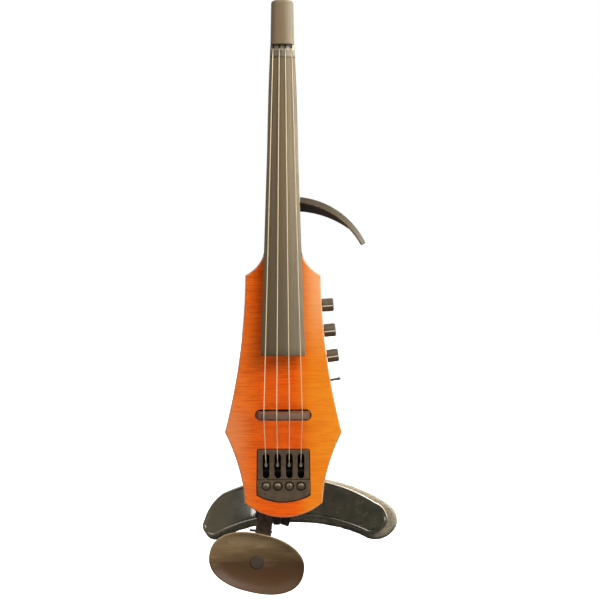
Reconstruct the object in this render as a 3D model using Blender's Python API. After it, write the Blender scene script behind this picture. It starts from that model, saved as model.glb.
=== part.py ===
"""Headless four-string electric violin with side arm, chin rest and shoulder rest.

Sizes are in millimetres and become metres where a mesh is stored.
+Z runs along the strings towards the head, the strings face -Y, and +X is the E string's side.
The origin is on the outer face of the back cover, on the centreline, level with the bridge.
"""

import math

import bmesh
import bpy
from mathutils import Matrix, Vector

MM = 0.001
GAP = 0.3

# Body
BODY_DEPTH = 28.0
FRONT = -BODY_DEPTH
SHOULDER = (34.6, 128.8)
HIP = (54.0, -15.9)
TAIL_CORNER = (35.8, -81.0)
TAIL_END = (0.0, -94.5)
HEEL_JOIN_Z = 146.0
SIDE_ARC_CENTRE = (643.6, 137.6)
SIDE_ARC_RADIUS = 609.2
WALL = 7.5
EDGE_BEVEL = 1.4
COVER_TOP_Z = 121.0
COVER_BOTTOM_Z = -14.0
COVER_LIP = 4.0
COVER_THICKNESS = 2.4
COVER_SCREWS = ((-21, 116.5), (21, 116.5), (-38, -7), (38, -7))
BLOCK_SCREWS = ((-10.7, -34.2), (10.7, -34.2), (-12, -75.4), (12, -75.4))
BRACKET_SCREWS = ((-3.5, -84.5), (25.5, -84.0))
JACK = (-34.5, -33.5)

# Strings, neck and fingerboard; heights are measured forwards from the body's front
STRING_NAMES = ("g", "d", "a", "e")
STRING_RADII = (0.42, 0.4, 0.36, 0.3)
NUT_X = (-8.8, -2.9, 2.9, 8.8)
BRIDGE_X = (-17.5, -5.8, 5.8, 17.5)
TUNER_X = (-16.05, -5.35, 5.35, 16.05)
NUT_Z = 328.7
BOARD_END_Z = 54.7
BOARD_HALF = (11.4, 20.3)
BOARD_TOP = (5.2, 16.5)
BOARD_UNDERSIDE = (-1.0, 6.8)
CAMBER_RADIUS = 42.0
BRIDGE_CROWN = 24.0
STRING_END_Z = -41.5
NECK_TOP_Z = 340.0
HEAD_BOTTOM_Z = 340.4
HEAD_TOP_Z = 380.9
HEAD_FRONT = FRONT - 9.0
HEAD_BACK = -14.8
HEAD_SQUARENESS = 3.2
HEAD_STRING_Y = FRONT - 3.4
HEAD_BORE_CLOSING = 0.72
HEAD_SCREW_Y = -21.5
BALL_Z = 357.3

# Bridge and tuner block
SLOT_HALF = 25.7
SLOT_RADIUS = 4.85
BLOCK_TOP_Z = -31.7
BLOCK_SEAM_Z = -59.8
BLOCK_CORNER = (24.3, -73.4)
BLOCK_BOTTOM_Z = -79.9
BLOCK_HALF = 23.7
BLOCK_FRONT = FRONT - 1.0
BLOCK_BACK = -14.6
LEVER_SLOT = (-35.4, -58.6)
SLOT_WIDTH = 6.0
AXLE_Y = -20.0
AXLE_Z = -52.0
SPINDLE_Z = -65.6
TIP_Y = FRONT - 2.6
TIP_Z = -44.0

# Controls on the E side
KNOB_Z = (100.9, 77.2, 53.5)
KNOB_NAMES = ("volume", "bass", "treble")
KNOB_RADIUS = 6.0
KNOB_LENGTH = 11.2
CONTROL_Y = -14.0
TOGGLE_Z = 31.4

# Side arm
ARM_SCREWS = ((-6.0, 180.0), (6.0, 180.0))
ARM_Y = (-19.0, -0.1)
RIB_Y = (0.2, 4.2)

# Chin rest
BAR_TILT = math.radians(6.0)
BAR_CENTRE = (-17.2, -92.0)
BAR_HALF = 7.6
BAR_Y = (1.0, 4.4)
BAR_Z = (-116.5, -77.0)
PIN_Y = 8.2
PIN_Z = -112.3
PIN_RADIUS = 1.2
PLATE_CENTRE = (-24.5, -134.2)
PLATE_TILT = math.radians(13.0)
PLATE_AXES = (44.0, 27.0)
PLATE_SQUARENESS = 2.3
PLATE_Y = -36.5

# Shoulder rest
BRACKET_X = (-26.5, 30.0)
BRACKET_Z = (-79.0, -93.0)
BRACKET_LIP_Z = -99.0
TONGUE_X = (-10.0, -3.3)
TONGUE_Z = -105.0
BRACKET_Y = (GAP, 8.6)
POST = (14.0, -86.0)
POST_RADIUS = 4.0
YOKE_Y = (9.4, 21.0)
TILT_AXIS_Y = 17.0
SHELL_Y = 24.0
SHELL_THICKNESS = 3.4
PAD_THICKNESS = 11.0
PAD_GAP = 0.8
BOW_CENTRE_X = 14.0
BOW_REACH = 92.0
BOW_LEAN = (15.0, 4.0)
SHELL_TOP = ((-58.0, -78.9), (6.0, -63.6), (87.0, -87.4))
SHELL_BOTTOM = ((-66.0, -120.0), (10.0, -100.3), (79.0, -116.2))
SHELL_RIGHT = ((96.4, -95.4), (98.6, -105.5), (91.0, -115.0))
SHELL_LEFT = ((-77.0, -106.0), (-69.3, -90.0), (-75.2, -118.5))
PAD_TOP = ((-58.0, -80.2), (18.0, -62.4), (99.0, -87.6))
PAD_BOTTOM = ((-66.8, -126.4), (12.0, -108.6), (79.0, -123.0))
PAD_RIGHT = ((107.6, -96.6), (110.0, -108.0), (101.0, -120.6))
PAD_LEFT = ((-78.2, -110.0), (-70.0, -91.5), (-75.6, -122.2))
LOCK = (-2.6, -85.8)
LOCK_Y = (11.2, 14.0)


# ---------- shared geometry ----------


def between(start, end, share):
    return start + (end - start) * share


def arc(start, via, end, steps):
    """Points from start to end, both included, on the circle through the three."""
    (ax, az), (bx, bz), (cx, cz) = start, via, end
    turn = 2 * (ax * (bz - cz) + bx * (cz - az) + cx * (az - bz))
    squares = [x * x + z * z for x, z in (start, via, end)]
    mx = (squares[0] * (bz - cz) + squares[1] * (cz - az) + squares[2] * (az - bz)) / turn
    mz = (squares[0] * (cx - bx) + squares[1] * (ax - cx) + squares[2] * (bx - ax)) / turn
    radius = math.hypot(ax - mx, az - mz)
    first = math.atan2(az - mz, ax - mx)
    whole = math.tau if turn > 0 else -math.tau
    sweep = (math.atan2(cz - mz, cx - mx) - first) % whole
    angles = [first + sweep * i / steps for i in range(steps + 1)]
    return [(mx + radius * math.cos(a), mz + radius * math.sin(a)) for a in angles]


def side_half_width(z):
    """Half width of the body between its shoulder and its widest point."""
    cx, cz = SIDE_ARC_CENTRE
    return cx - math.sqrt(SIDE_ARC_RADIUS**2 - (z - cz) ** 2)


def side_normal(z):
    """Outward direction of the E side at this height."""
    cx, cz = SIDE_ARC_CENTRE
    return Vector((cx - side_half_width(z), 0, cz - z)).normalized()


def along_board(z):
    """0 at the nut, 1 at the fingerboard's free end."""
    return (NUT_Z - z) / (NUT_Z - BOARD_END_Z)


def board_underside(z):
    return FRONT - between(*BOARD_UNDERSIDE, along_board(z))


def ring_solid(rings):
    """One closed solid through rings of equally many points, with a face on the first and last."""
    mesh = bmesh.new()
    rows = [[mesh.verts.new(point) for point in ring] for ring in rings]
    for near, far in zip(rows, rows[1:]):
        for i in range(len(near)):
            j = (i + 1) % len(near)
            mesh.faces.new((near[i], near[j], far[j], far[i]))
    mesh.faces.new(rows[0])
    mesh.faces.new(rows[-1])
    bmesh.ops.recalc_face_normals(mesh, faces=mesh.faces)
    return mesh


def prism(outline, front, back):
    """An X-Z outline given depth along Y."""
    return ring_solid([[(x, y, z) for x, z in outline] for y in (front, back)])


def side_prism(outline, left, right):
    """A Y-Z outline given width along X."""
    return ring_solid([[(x, y, z) for y, z in outline] for x in (left, right)])


def box(x, y, z):
    return prism([(x[0], z[0]), (x[1], z[0]), (x[1], z[1]), (x[0], z[1])], y[0], y[1])


def circle(centre, axis, radius, sides):
    axis = Vector(axis).normalized()
    helper = Vector((0, 1, 0)) if abs(axis.y) < 0.9 else Vector((1, 0, 0))
    u = axis.cross(helper).normalized()
    v = axis.cross(u)
    angles = [math.tau * i / sides for i in range(sides)]
    return [Vector(centre) + radius * (math.cos(a) * u + math.sin(a) * v) for a in angles]


def turned(start, axis, profile, sides):
    """A turned solid: the profile gives (distance along the axis, radius) pairs in order."""
    axis = Vector(axis).normalized()
    start = Vector(start)
    return ring_solid([circle(start + axis * d, axis, r, sides) for d, r in profile])


def rod(start, end, radius, sides=12):
    length = (Vector(end) - Vector(start)).length
    return turned(start, Vector(end) - Vector(start), [(0, radius), (length, radius)], sides)


def swept_tube(path, radii, sides):
    """A round bar along a path, with its own radius at each point."""
    path = [Vector(point) for point in path]
    rings = []
    for i, point in enumerate(path):
        before = path[max(i - 1, 0)]
        after = path[min(i + 1, len(path) - 1)]
        rings.append(circle(point, after - before, radii[i], sides))
    return ring_solid(rings)


def stadium(half_length, radius, steps=8):
    """A slot's outline about the origin, its long side along X."""
    centre = half_length - radius
    right = arc((centre, -radius), (half_length, 0), (centre, radius), steps)
    left = arc((-centre, radius), (-half_length, 0), (-centre, -radius), steps)
    return right + left


def upright_slot(x, z_low, z_high, width):
    """A rounded slot's outline, its long side along Z."""
    r = width / 2
    top = arc((x + r, z_high - r), (x, z_high), (x - r, z_high - r), 6)
    return top + arc((x - r, z_low + r), (x, z_low), (x + r, z_low + r), 6)


def superellipse(a, b, squareness, steps):
    """An oval about the origin that is squarer than an ellipse when squareness is over 2."""
    points = []
    for i in range(steps):
        c, s = math.cos(math.tau * i / steps), math.sin(math.tau * i / steps)
        reach = (abs(c) ** squareness + abs(s) ** squareness) ** (-1 / squareness)
        points.append((a * c * reach, b * s * reach))
    return points


def rounded_box(x, y, z, radius):
    """A box whose four edges along Y are rounded."""
    turn = radius * (1 - math.sqrt(0.5))
    (x0, x1), (z0, z1) = x, z
    outline = (
        arc((x1 - radius, z0), (x1 - turn, z0 + turn), (x1, z0 + radius), 4)
        + arc((x1, z1 - radius), (x1 - turn, z1 - turn), (x1 - radius, z1), 4)
        + arc((x0 + radius, z1), (x0 + turn, z1 - turn), (x0, z1 - radius), 4)
        + arc((x0, z0 + radius), (x0 + turn, z0 + turn), (x0 + radius, z0), 4)
    )
    return prism(outline, y[0], y[1])


# ---------- objects and materials ----------


def material(name, colour, roughness, metallic=0.0):
    made = bpy.data.materials.new(name)
    made.use_nodes = True
    shader = made.node_tree.nodes["Principled BSDF"]
    shader.inputs["Base Color"].default_value = (*colour, 1.0)
    shader.inputs["Roughness"].default_value = roughness
    shader.inputs["Metallic"].default_value = metallic
    return made


def add(name, mesh, look, origin=(0, 0, 0), turn=None):
    """Store a mesh drawn in the violin's own coordinates as an object whose origin is given."""
    if turn is not None:
        mesh.transform(turn)
    mesh.transform(Matrix.Scale(MM, 4) @ Matrix.Translation(-Vector(origin)))
    data = bpy.data.meshes.new(name)
    mesh.to_mesh(data)
    mesh.free()
    data.shade_smooth()
    data.set_sharp_from_angle(angle=math.radians(35))
    if look is not None:
        data.materials.append(look)
    made = bpy.data.objects.new(name, data)
    made.location = Vector(origin) * MM
    made.parent = VIOLIN
    bpy.context.scene.collection.objects.link(made)
    return made


def combine(target, mesh, operation, turn=None):
    """Cut a shape from an object, or join it on, with a Boolean that stays on the object."""
    helper = add(f"{operation.lower()}_{target.name}", mesh, None, turn=turn)
    helper.hide_render = True
    helper.display_type = "WIRE"
    step = target.modifiers.new(operation.title(), "BOOLEAN")
    step.operation = operation
    step.solver = "EXACT"
    step.object = helper


def cut(target, mesh, turn=None):
    combine(target, mesh, "DIFFERENCE", turn)


def join(target, mesh, turn=None):
    combine(target, mesh, "UNION", turn)


def about(x, z, angle):
    """A turn about the Y line through (x, z); a positive angle swings the lower end to -X."""
    place = Matrix.Translation((x, 0, z))
    return place @ Matrix.Rotation(angle, 4, "Y") @ place.inverted()


# ---------- body ----------


def body_outline():
    flare = arc((18.3, HEEL_JOIN_Z), (25.2, 135.5), SHOULDER, 8)
    side = arc(SHOULDER, (side_half_width(60), 60), HIP, 12)
    waist = arc(HIP, (43.3, -41.8), (37.2, -66.0), 8)
    tail = arc(TAIL_CORNER, (20.5, -90.5), TAIL_END, 7)
    right = flare + side[1:] + waist[1:] + tail
    return right + [(-x, z) for x, z in reversed(right[:-1])]


def inset_outline(bottom_z, top_z, inset, steps):
    """The part of the body's outline between two heights, moved in from both sides."""
    heights = [between(bottom_z, top_z, i / steps) for i in range(steps + 1)]
    right = [(side_half_width(z) - inset, z) for z in heights]
    return right + [(-x, z) for x, z in reversed(right)]


def tuner_outline(grow):
    x, z = BLOCK_CORNER
    bottom = arc((x + grow, z - grow), (0, BLOCK_BOTTOM_Z - grow), (-x - grow, z - grow), 10)
    return [(-BLOCK_HALF - grow, BLOCK_TOP_Z + grow), (BLOCK_HALF + grow, BLOCK_TOP_Z + grow)] + bottom


def make_body():
    mesh = prism(body_outline(), FRONT, 0)
    caps = [face for face in mesh.faces if abs(face.normal.y) > 0.9]
    rims = list({edge for face in caps for edge in face.edges})
    bmesh.ops.bevel(mesh, geom=rims, offset=EDGE_BEVEL, segments=2, profile=0.5, affect="EDGES")
    body = add("body", mesh, MAPLE)
    cut(body, box((-12, 12), (FRONT - 1, -14), (118, HEEL_JOIN_Z + 1)))
    cut(body, prism(stadium(SLOT_HALF, SLOT_RADIUS), FRONT - 1, FRONT + 3))
    cut(body, box((-20.3, 20.3), (FRONT + 2, FRONT + 5), (-1.7, 1.7)))
    cut(body, rod((-12, -24, -0.5), (-12, -18, 20), 1.2, 8))
    cut(body, prism(tuner_outline(0.4), FRONT - 1, BLOCK_BACK + GAP))
    cut(body, rounded_box((-21.5, 21.5), (-18, -5), (-73, -38.5), 3))
    cut(body, rounded_box((-21.5, 21.5), (-8, 1), (-73, -58.5), 3))
    seat = inset_outline(COVER_BOTTOM_Z, COVER_TOP_Z, COVER_LIP - GAP, 8)
    cut(body, prism(seat, -COVER_THICKNESS - GAP, 1))
    cut(body, prism(inset_outline(16, 112, WALL, 6), -22, 1))
    for x, z in COVER_SCREWS:
        cut(body, rod((x, -12, z), (x, 1, z), 1.35, 8))
    for x, z in BLOCK_SCREWS:
        cut(body, turned((x, 1, z), (0, -1, 0), [(0, 2.7), (3.9, 2.7), (3.9, 1.5), (18, 1.5)], 10))
    for z in KNOB_Z:
        cut(body, rod(control_point(z, -WALL - 4), control_point(z, 3), 3.6, 12))
    cut(body, rod(control_point(TOGGLE_Z, -WALL - 4), control_point(TOGGLE_Z, 3), 3.3, 12))
    x, z = JACK
    cut(body, turned((x, 1, z), (0, -1, 0), [(0, 7.6), (3.9, 7.6), (3.9, 5.9), (25, 5.9)], 20))
    cut(body, rod((x, -17, z), (x, -17, 20), 1.6, 8))
    for x, z in BRACKET_SCREWS:
        cut(body, rod((x, -12, z), (x, 1, z), 1.35, 8))


def control_point(z, distance):
    """A point on a control's axis, this far outside the body's side."""
    surface = Vector((side_half_width(z), CONTROL_Y, z))
    return surface + side_normal(z) * distance


def screw(name, x, z, head_back, head_radius, head_height, shank_radius, length, look):
    """A countersunk screw driven in from behind."""
    profile = [
        (0, head_radius),
        (head_height, head_radius),
        (head_height, shank_radius),
        (length, shank_radius),
    ]
    made = add(name, turned((x, head_back, z), (0, -1, 0), profile, 12), look)
    reach = head_radius * 0.7
    slot = box((x - reach, x + reach), (head_back - 0.6, head_back + 9), (z - 0.35, z + 0.35))
    cut(made, slot)


def make_covers():
    outline = inset_outline(COVER_BOTTOM_Z + GAP, COVER_TOP_Z - GAP, COVER_LIP, 8)
    cover = add("back_cover", prism(outline, -COVER_THICKNESS, 0), COVER)
    for x, z in COVER_SCREWS:
        cut(cover, turned((x, 1, z), (0, -1, 0), [(0, 2.7), (2.0, 2.7), (2.0, 1.5), (5, 1.5)], 12))
    for i, (x, z) in enumerate(COVER_SCREWS, 1):
        screw(f"cover_screw_{i}", x, z, -0.3, 2.3, 0.4, 1.1, 10, STEEL)


# ---------- neck, fingerboard, nut and head ----------


def neck_section(z, half, back, squareness):
    """A neck section: flat on top, with a rounded back that is squarer at the heel."""
    top = board_underside(z) + GAP
    edge = top + 2.5
    steps = 14
    ring = [(half, top, z)]
    for i in range(steps + 1):
        a = math.pi * i / steps
        x = half * math.copysign(abs(math.cos(a)) ** (2 / squareness), math.cos(a))
        y = edge + (back - edge) * math.sin(a) ** (2 / squareness)
        ring.append((x, y, z))
    ring.append((-half, top, z))
    return ring


def make_neck():
    sections = (
        (NECK_TOP_Z, 11.2, -14.8, 2.2),
        (300.0, 12.9, -15.2, 2.1),
        (262.0, 13.9, -15.8, 2.1),
        (222.0, 14.7, -16.3, 2.2),
        (208.0, 15.0, -13.6, 2.4),
        (197.0, 15.3, -8.4, 2.8),
        (186.0, 15.5, -3.6, 3.2),
        (172.0, 16.0, -1.4, 3.8),
        (158.0, 16.3, -0.8, 4.2),
        (152.7, 16.7, -0.8, 4.4),
        (HEEL_JOIN_Z + GAP, 18.2, -0.8, 5.0),
    )
    neck = add("neck", ring_solid([neck_section(*s) for s in sections]), NECK_PAINT)
    riser = [(board_underside(z) + 2 * GAP, z) for z in (HEEL_JOIN_Z + 4, 100.0)]
    tenon = riser + [(FRONT - GAP, 100), (FRONT - GAP, 118.3), (-14.3, 118.3), (-14.3, HEEL_JOIN_Z + 4)]
    join(neck, side_prism(tenon, -11.7, 11.7))
    cut(neck, rod((0, HEAD_SCREW_Y, 312), (0, HEAD_SCREW_Y, 345), 1.5, 8))
    for x, z in ARM_SCREWS:
        cut(neck, rod((x, -10, z), (x, 3, z), 1.35, 8))


def make_fingerboard():
    rings = []
    for z in (NUT_Z - GAP, BOARD_END_Z):
        share = along_board(z)
        half = between(*BOARD_HALF, share)
        crown = FRONT - between(*BOARD_TOP, share)
        ring = []
        for i in range(11):
            x = between(-half, half, i / 10)
            ring.append((x, crown + x * x / (2 * CAMBER_RADIUS), z))
        under = board_underside(z)
        rings.append(ring + [(half, under, z), (-half, under, z)])
    add("fingerboard", ring_solid(rings), EBONY)


def string_front(x, z):
    """Y of a string's centre over the speaking length."""
    nut_x = NUT_X[BRIDGE_X.index(x)]
    nut = FRONT - BOARD_TOP[0] - 0.95 + nut_x**2 / (2 * CAMBER_RADIUS)
    bridge = FRONT - BRIDGE_CROWN + x * x / (2 * CAMBER_RADIUS)
    return between(nut, bridge, (NUT_Z - z) / NUT_Z)


def make_nut():
    """The nut's front edge carries the strings, and a ramp leads them down into the head."""
    low = board_underside(NUT_Z) - GAP
    profile = [
        (low, NUT_Z),
        (FRONT - 5.0, NUT_Z),
        (FRONT - 5.2, NUT_Z + 1.6),
        (FRONT - 2.2, 337.5),
        (FRONT - 2.2, NECK_TOP_Z),
        (low, NECK_TOP_Z),
    ]
    nut = add("nut", side_prism(profile, -11.1, 11.1), NUT_BONE)
    for x in NUT_X:
        y = string_front(BRIDGE_X[NUT_X.index(x)], NUT_Z)
        cut(nut, rod((x, y - 0.1, NUT_Z - 2), (x, y - 0.1, NUT_Z + 3), 0.75, 8))
        start = (x, y + 0.3, NUT_Z + 1.2)
        cut(nut, rod(start, (x * 0.985, HEAD_STRING_Y, HEAD_BOTTOM_Z + 1.1), 0.85, 8))


def head_bore_x(x, z):
    """The strings' bores close in slightly towards the head's tip."""
    return x * between(1.0, HEAD_BORE_CLOSING, (z - NUT_Z) / (HEAD_TOP_Z - NUT_Z))


def make_headpiece():
    """The cap that holds the strings' ball ends, and the long screw that holds it on the neck."""
    middle = (HEAD_FRONT + HEAD_BACK) / 2
    depth = (HEAD_BACK - HEAD_FRONT) / 2
    rings = []
    for z, half, shrink in (
        (HEAD_BOTTOM_Z, 11.0, 0.0),
        (376.0, 10.3, 0.0),
        (379.2, 10.0, 0.5),
        (380.4, 9.2, 1.3),
        (HEAD_TOP_Z, 7.8, 2.7),
    ):
        outline = superellipse(half, depth - shrink, HEAD_SQUARENESS, 24)
        rings.append([(x, middle + y, z) for x, y in outline])
    head = add("headpiece", ring_solid(rings), NECK_PAINT)
    for x in NUT_X:
        heights = (HEAD_BOTTOM_Z - 2, BALL_Z - 0.3, BALL_Z - 1.8, HEAD_TOP_Z + 3)
        low, middle, seat, high = ((head_bore_x(x, z), HEAD_STRING_Y, z) for z in heights)
        cut(head, rod(low, middle, 1.0, 8))
        cut(head, rod(seat, high, 1.75, 10))
    well = [(0, 3.4), (7, 3.4), (7, 1.9), (50, 1.9)]
    cut(head, turned((0, HEAD_SCREW_Y, HEAD_TOP_Z + 2.1), (0, 0, -1), well, 12))
    top = (0, HEAD_SCREW_Y, 379.0)
    long_screw = [(0, 3.0), (2.7, 3.0), (2.7, 1.2), (65, 1.2)]
    bolt = add("headpiece_screw", turned(top, (0, 0, -1), long_screw, 14), STEEL)
    cut(bolt, rod((0, HEAD_SCREW_Y, 377.4), (0, HEAD_SCREW_Y, 382), 1.5, 6))


def make_strings():
    for name, radius, nut_x, bridge_x, end_x in zip(STRING_NAMES, STRING_RADII, NUT_X, BRIDGE_X, TUNER_X):
        ball = (BALL_Z + 1.3, BALL_Z + 0.7, BALL_Z - 0.7, BALL_Z - 1.1)
        path = [(head_bore_x(nut_x, z), HEAD_STRING_Y, z) for z in ball]
        path += [
            (head_bore_x(nut_x, HEAD_BOTTOM_Z - 1), HEAD_STRING_Y + 0.1, HEAD_BOTTOM_Z - 1),
            (nut_x, string_front(bridge_x, NUT_Z), NUT_Z + 0.6),
            (bridge_x, string_front(bridge_x, 0), 0),
            (end_x, TIP_Y - 1.2, STRING_END_Z),
        ]
        radii = [0.7, 1.35, 1.35, radius, radius, radius, radius, radius]
        add(f"string_{name}", swept_tube(path, radii, 8), STRING_STEEL)


# ---------- bridge and pickup ----------


def make_bridge():
    """A blade as wide as its slot, cambered on top and arched between its feet."""
    crown_half, foot_half = 21.7, SLOT_HALF - 1.0
    foot = FRONT + 3 - 2 * GAP
    rows = 14
    outline = []
    for i in range(rows + 1):
        x = between(-crown_half, crown_half, i / rows)
        crown = FRONT - BRIDGE_CROWN + 0.75 + x * x / (2 * CAMBER_RADIUS)
        outline.append((x, crown))
    outline += [(foot_half - 1.6, FRONT - 4), (foot_half, FRONT - 1.5), (foot_half, foot)]
    outline += arc((9.0, foot), (0, FRONT - 6.5), (-9.0, foot), 8)
    outline += [(-foot_half, foot), (-foot_half, FRONT - 1.5), (-foot_half + 1.6, FRONT - 4)]
    rings = []
    for side in (-1, 1):
        ring = []
        for x, y in outline:
            rise = min(max((FRONT - y) / (BRIDGE_CROWN - 4), 0), 1)
            past_straight = max(abs(x) - (SLOT_HALF - SLOT_RADIUS), 0)
            round_end = math.sqrt((SLOT_RADIUS - GAP) ** 2 - past_straight**2)
            ring.append((x, y, side * min(between(4.1, 2.6, rise), round_end)))
        rings.append(ring)
    bridge = add("bridge", ring_solid(rings), BRIDGE_WOOD)
    for x, end_x, radius in zip(BRIDGE_X, TUNER_X, STRING_RADII):
        top = Vector((x, string_front(x, 0), 0))
        fall = (Vector((end_x, TIP_Y - 1.2, STRING_END_Z)) - top).normalized()
        cut(bridge, rod(top + Vector((0, 0, -1)), top + Vector((0, 0, 7)), radius + GAP, 8))
        cut(bridge, rod(top - fall, top + fall * 8, radius + GAP, 8))
    add("bridge_pickup", box((-20, 20), (FRONT + 2.8, FRONT + 4.7), (-1.4, 1.4)), BRASS)


# ---------- tuners ----------


def make_tuner_block():
    top = [(-BLOCK_HALF, BLOCK_TOP_Z), (BLOCK_HALF, BLOCK_TOP_Z)]
    frame_half = between(BLOCK_HALF, BLOCK_CORNER[0], 0.65)
    seam = [(frame_half, BLOCK_SEAM_Z + 0.15), (-frame_half, BLOCK_SEAM_Z + 0.15)]
    frame = add("tuner_frame", prism(top + seam, BLOCK_FRONT, BLOCK_BACK), TUNER_METAL)
    for x in TUNER_X:
        cut(frame, prism(upright_slot(x, LEVER_SLOT[1], LEVER_SLOT[0], SLOT_WIDTH), -40, -10))
    cut(frame, rod((-30, AXLE_Y, AXLE_Z), (30, AXLE_Y, AXLE_Z), 1.4))
    corner_x, corner_z = BLOCK_CORNER
    low = arc((corner_x, corner_z), (0, BLOCK_BOTTOM_Z), (-corner_x, corner_z), 10)
    seam = [(-frame_half, BLOCK_SEAM_Z - 0.15), (frame_half, BLOCK_SEAM_Z - 0.15)]
    end = add("tuner_end_block", prism(seam + low, BLOCK_FRONT, BLOCK_BACK), TUNER_METAL)
    for x in TUNER_X:
        well = [(0, 4.4), (3.2, 4.4), (3.2, 1.9), (20, 1.9)]
        cut(end, turned((x, BLOCK_FRONT - 1, SPINDLE_Z), (0, 1, 0), well, 14))
    for i, (x, z) in enumerate(BLOCK_SCREWS, 1):
        cut(frame if i < 3 else end, rod((x, -20.5, z), (x, -10, z), 1.35, 8))
        screw(f"tuner_screw_{i}", x, z, -0.4, 2.3, 2.1, 1.1, 19, STEEL)
    add("tuner_axle", rod((-23.2, AXLE_Y, AXLE_Z), (23.2, AXLE_Y, AXLE_Z), 1.2), STEEL)


def make_tuner(i, x):
    """A spindle turned by the knurled knob behind, and the bell crank that its thread moves."""
    dome = [(0, 1.2), (0.5, 2.5), (1.2, 3.4), (2.0, 3.65), (3.1, 3.65), (3.1, 1.6)]
    knob = [(24.4, 1.6), (24.4, 4.4), (24.9, 4.8), (33.6, 4.8), (34.1, 4.4)]
    front = BLOCK_FRONT - 1.4
    spindle = add(
        f"tuner_spindle_{i}",
        turned((x, front, SPINDLE_Z), (0, 1, 0), dome + knob, 16),
        TUNER_METAL,
        origin=(x, front, SPINDLE_Z),
    )
    cut(spindle, box((x - 5, x + 5), (2.9, 5), (SPINDLE_Z - 0.4, SPINDLE_Z + 0.4)))
    axis = (x, AXLE_Y, AXLE_Z)
    arm = [
        (TIP_Y + 1.5, -45.5),
        (AXLE_Y - 2.4, -49.0),
        (-12.6, -50.2),
        (-12.6, -61.0),
        (-9.8, -61.0),
        (-9.8, -48.0),
        (-17.0, -48.0),
        (TIP_Y + 3.0, -44.2),
    ]
    lever = add(f"tuner_lever_{i}", side_prism(arm, x - 2.3, x + 2.3), TUNER_METAL, origin=axis)
    hub = [(x - 2.3, AXLE_Y, AXLE_Z), (x + 2.3, AXLE_Y, AXLE_Z)]
    join(lever, rod(*hub, 3.0, 14))
    join(lever, box((x - 2.0, x + 2.0), (-19.5, -9.9), (-53.5, -48.5)))
    join(lever, rod((x, -12.6, SPINDLE_Z), (x, -9.8, SPINDLE_Z), 4.3, 16))
    join(lever, box((x - 2.3, x + 2.3), (-12.5, -9.9), (SPINDLE_Z + 2.6, -60)))
    tip_axis = Vector((0, -0.55, 1.0))
    base = Vector((x, TIP_Y + 2.2, TIP_Z - 3.4))
    join(lever, turned(base, tip_axis, [(0, 2.1), (2.6, 2.1), (4.4, 0.9)], 12))
    cut(lever, rod((x - 4, AXLE_Y, AXLE_Z), (x + 4, AXLE_Y, AXLE_Z), 1.45, 12))
    cut(lever, rod((x, -15, SPINDLE_Z), (x, -7, SPINDLE_Z), 2.9, 12))


# ---------- controls and electronics ----------


def make_controls():
    for name, z in zip(KNOB_NAMES, KNOB_Z):
        axis = side_normal(z)
        pot = [(0, 4.8), (7.0, 4.8), (7.0, 3.2), (14.9, 3.2), (14.9, 1.8), (3.0, 1.8)]
        start = control_point(z, -15.2)
        add(f"{name}_control_body", turned(start, axis, pot, 14), STEEL)
        shaft = [(-12.0, 1.5), (0.4, 1.5), (0.4, 5.6), (0.9, KNOB_RADIUS), (KNOB_LENGTH - 0.6, KNOB_RADIUS)]
        shaft += [(KNOB_LENGTH, KNOB_RADIUS - 0.6)]
        centre = control_point(z, 0)
        add(f"{name}_knob", turned(centre, axis, shaft, 24), KNOB_BLACK, origin=centre)
    axis = side_normal(TOGGLE_Z)
    switch = [(0, 4.4), (7.0, 4.4), (7.0, 2.9), (15.4, 2.9), (15.4, 2.0), (9.0, 2.0)]
    add("toggle_switch_body", turned(control_point(TOGGLE_Z, -15.2), axis, switch, 12), STEEL)
    pivot = control_point(TOGGLE_Z, -4.0)
    bat = [(0, 0.8), (1.0, 1.15), (9.0, 1.15), (12.0, 1.4), (13.2, 1.4), (13.7, 0.9)]
    add("toggle_lever", turned(pivot, axis, bat, 12), CHROME, origin=pivot)


def make_electronics():
    add("preamp_board", box((-24, 8), (-19.4, -17.8), (76, 108)), BOARD_GREEN)
    add("battery", rounded_box((-30.5, -4.0), (-21.2, -3.7), (20.0, 68.5), 2.0), BATTERY)
    x, z = JACK
    start = (x, -1.0 - 21.5, z)
    profile = [(0, 4.0), (0, 5.5), (19.9, 5.5), (19.9, 7.2), (21.5, 7.2), (21.5, 3.3), (3.0, 3.3)]
    add("output_jack", turned(start, (0, 1, 0), profile, 20), STEEL)


# ---------- side arm ----------


def make_side_arm():
    """A bent strip that gives the hand an upper bout to feel, on a plate screwed behind the heel."""
    start, via, end = (15.9, 201.1), (53.1, 186.8), (76.6, 158.4)
    outer = arc(start, via, end, 14)
    inner = arc((15.9, 195.6), (50.6, 182.0), (72.9, 156.8), 14)
    add("side_arm_strip", prism(outer + inner[::-1], *ARM_Y), ARM_BLACK)
    top = arc((13.0, 196.0), (46.5, 185.0), (63.5, 173.9), 8)
    low = arc((61.3, 172.6), (44.0, 182.2), (15.9, 188.8), 8)
    foot = [(11.0, 188.0), (11.0, 171.0), (-11.0, 171.0), (-11.0, 190.0), (-8.0, 193.5)]
    rib = add("side_arm_rib", prism(top + low + foot, *RIB_Y), ARM_BLACK)
    for i, (x, z) in enumerate(ARM_SCREWS, 1):
        cut(rib, turned((x, 5, z), (0, -1, 0), [(0, 3.0), (2.4, 3.0), (2.4, 1.5), (8, 1.5)], 12))
        screw(f"side_arm_screw_{i}", x, z, 4.0, 2.6, 1.1, 1.1, 13.5, STEEL)


# ---------- tail bracket, chin rest and shoulder rest ----------


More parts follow.
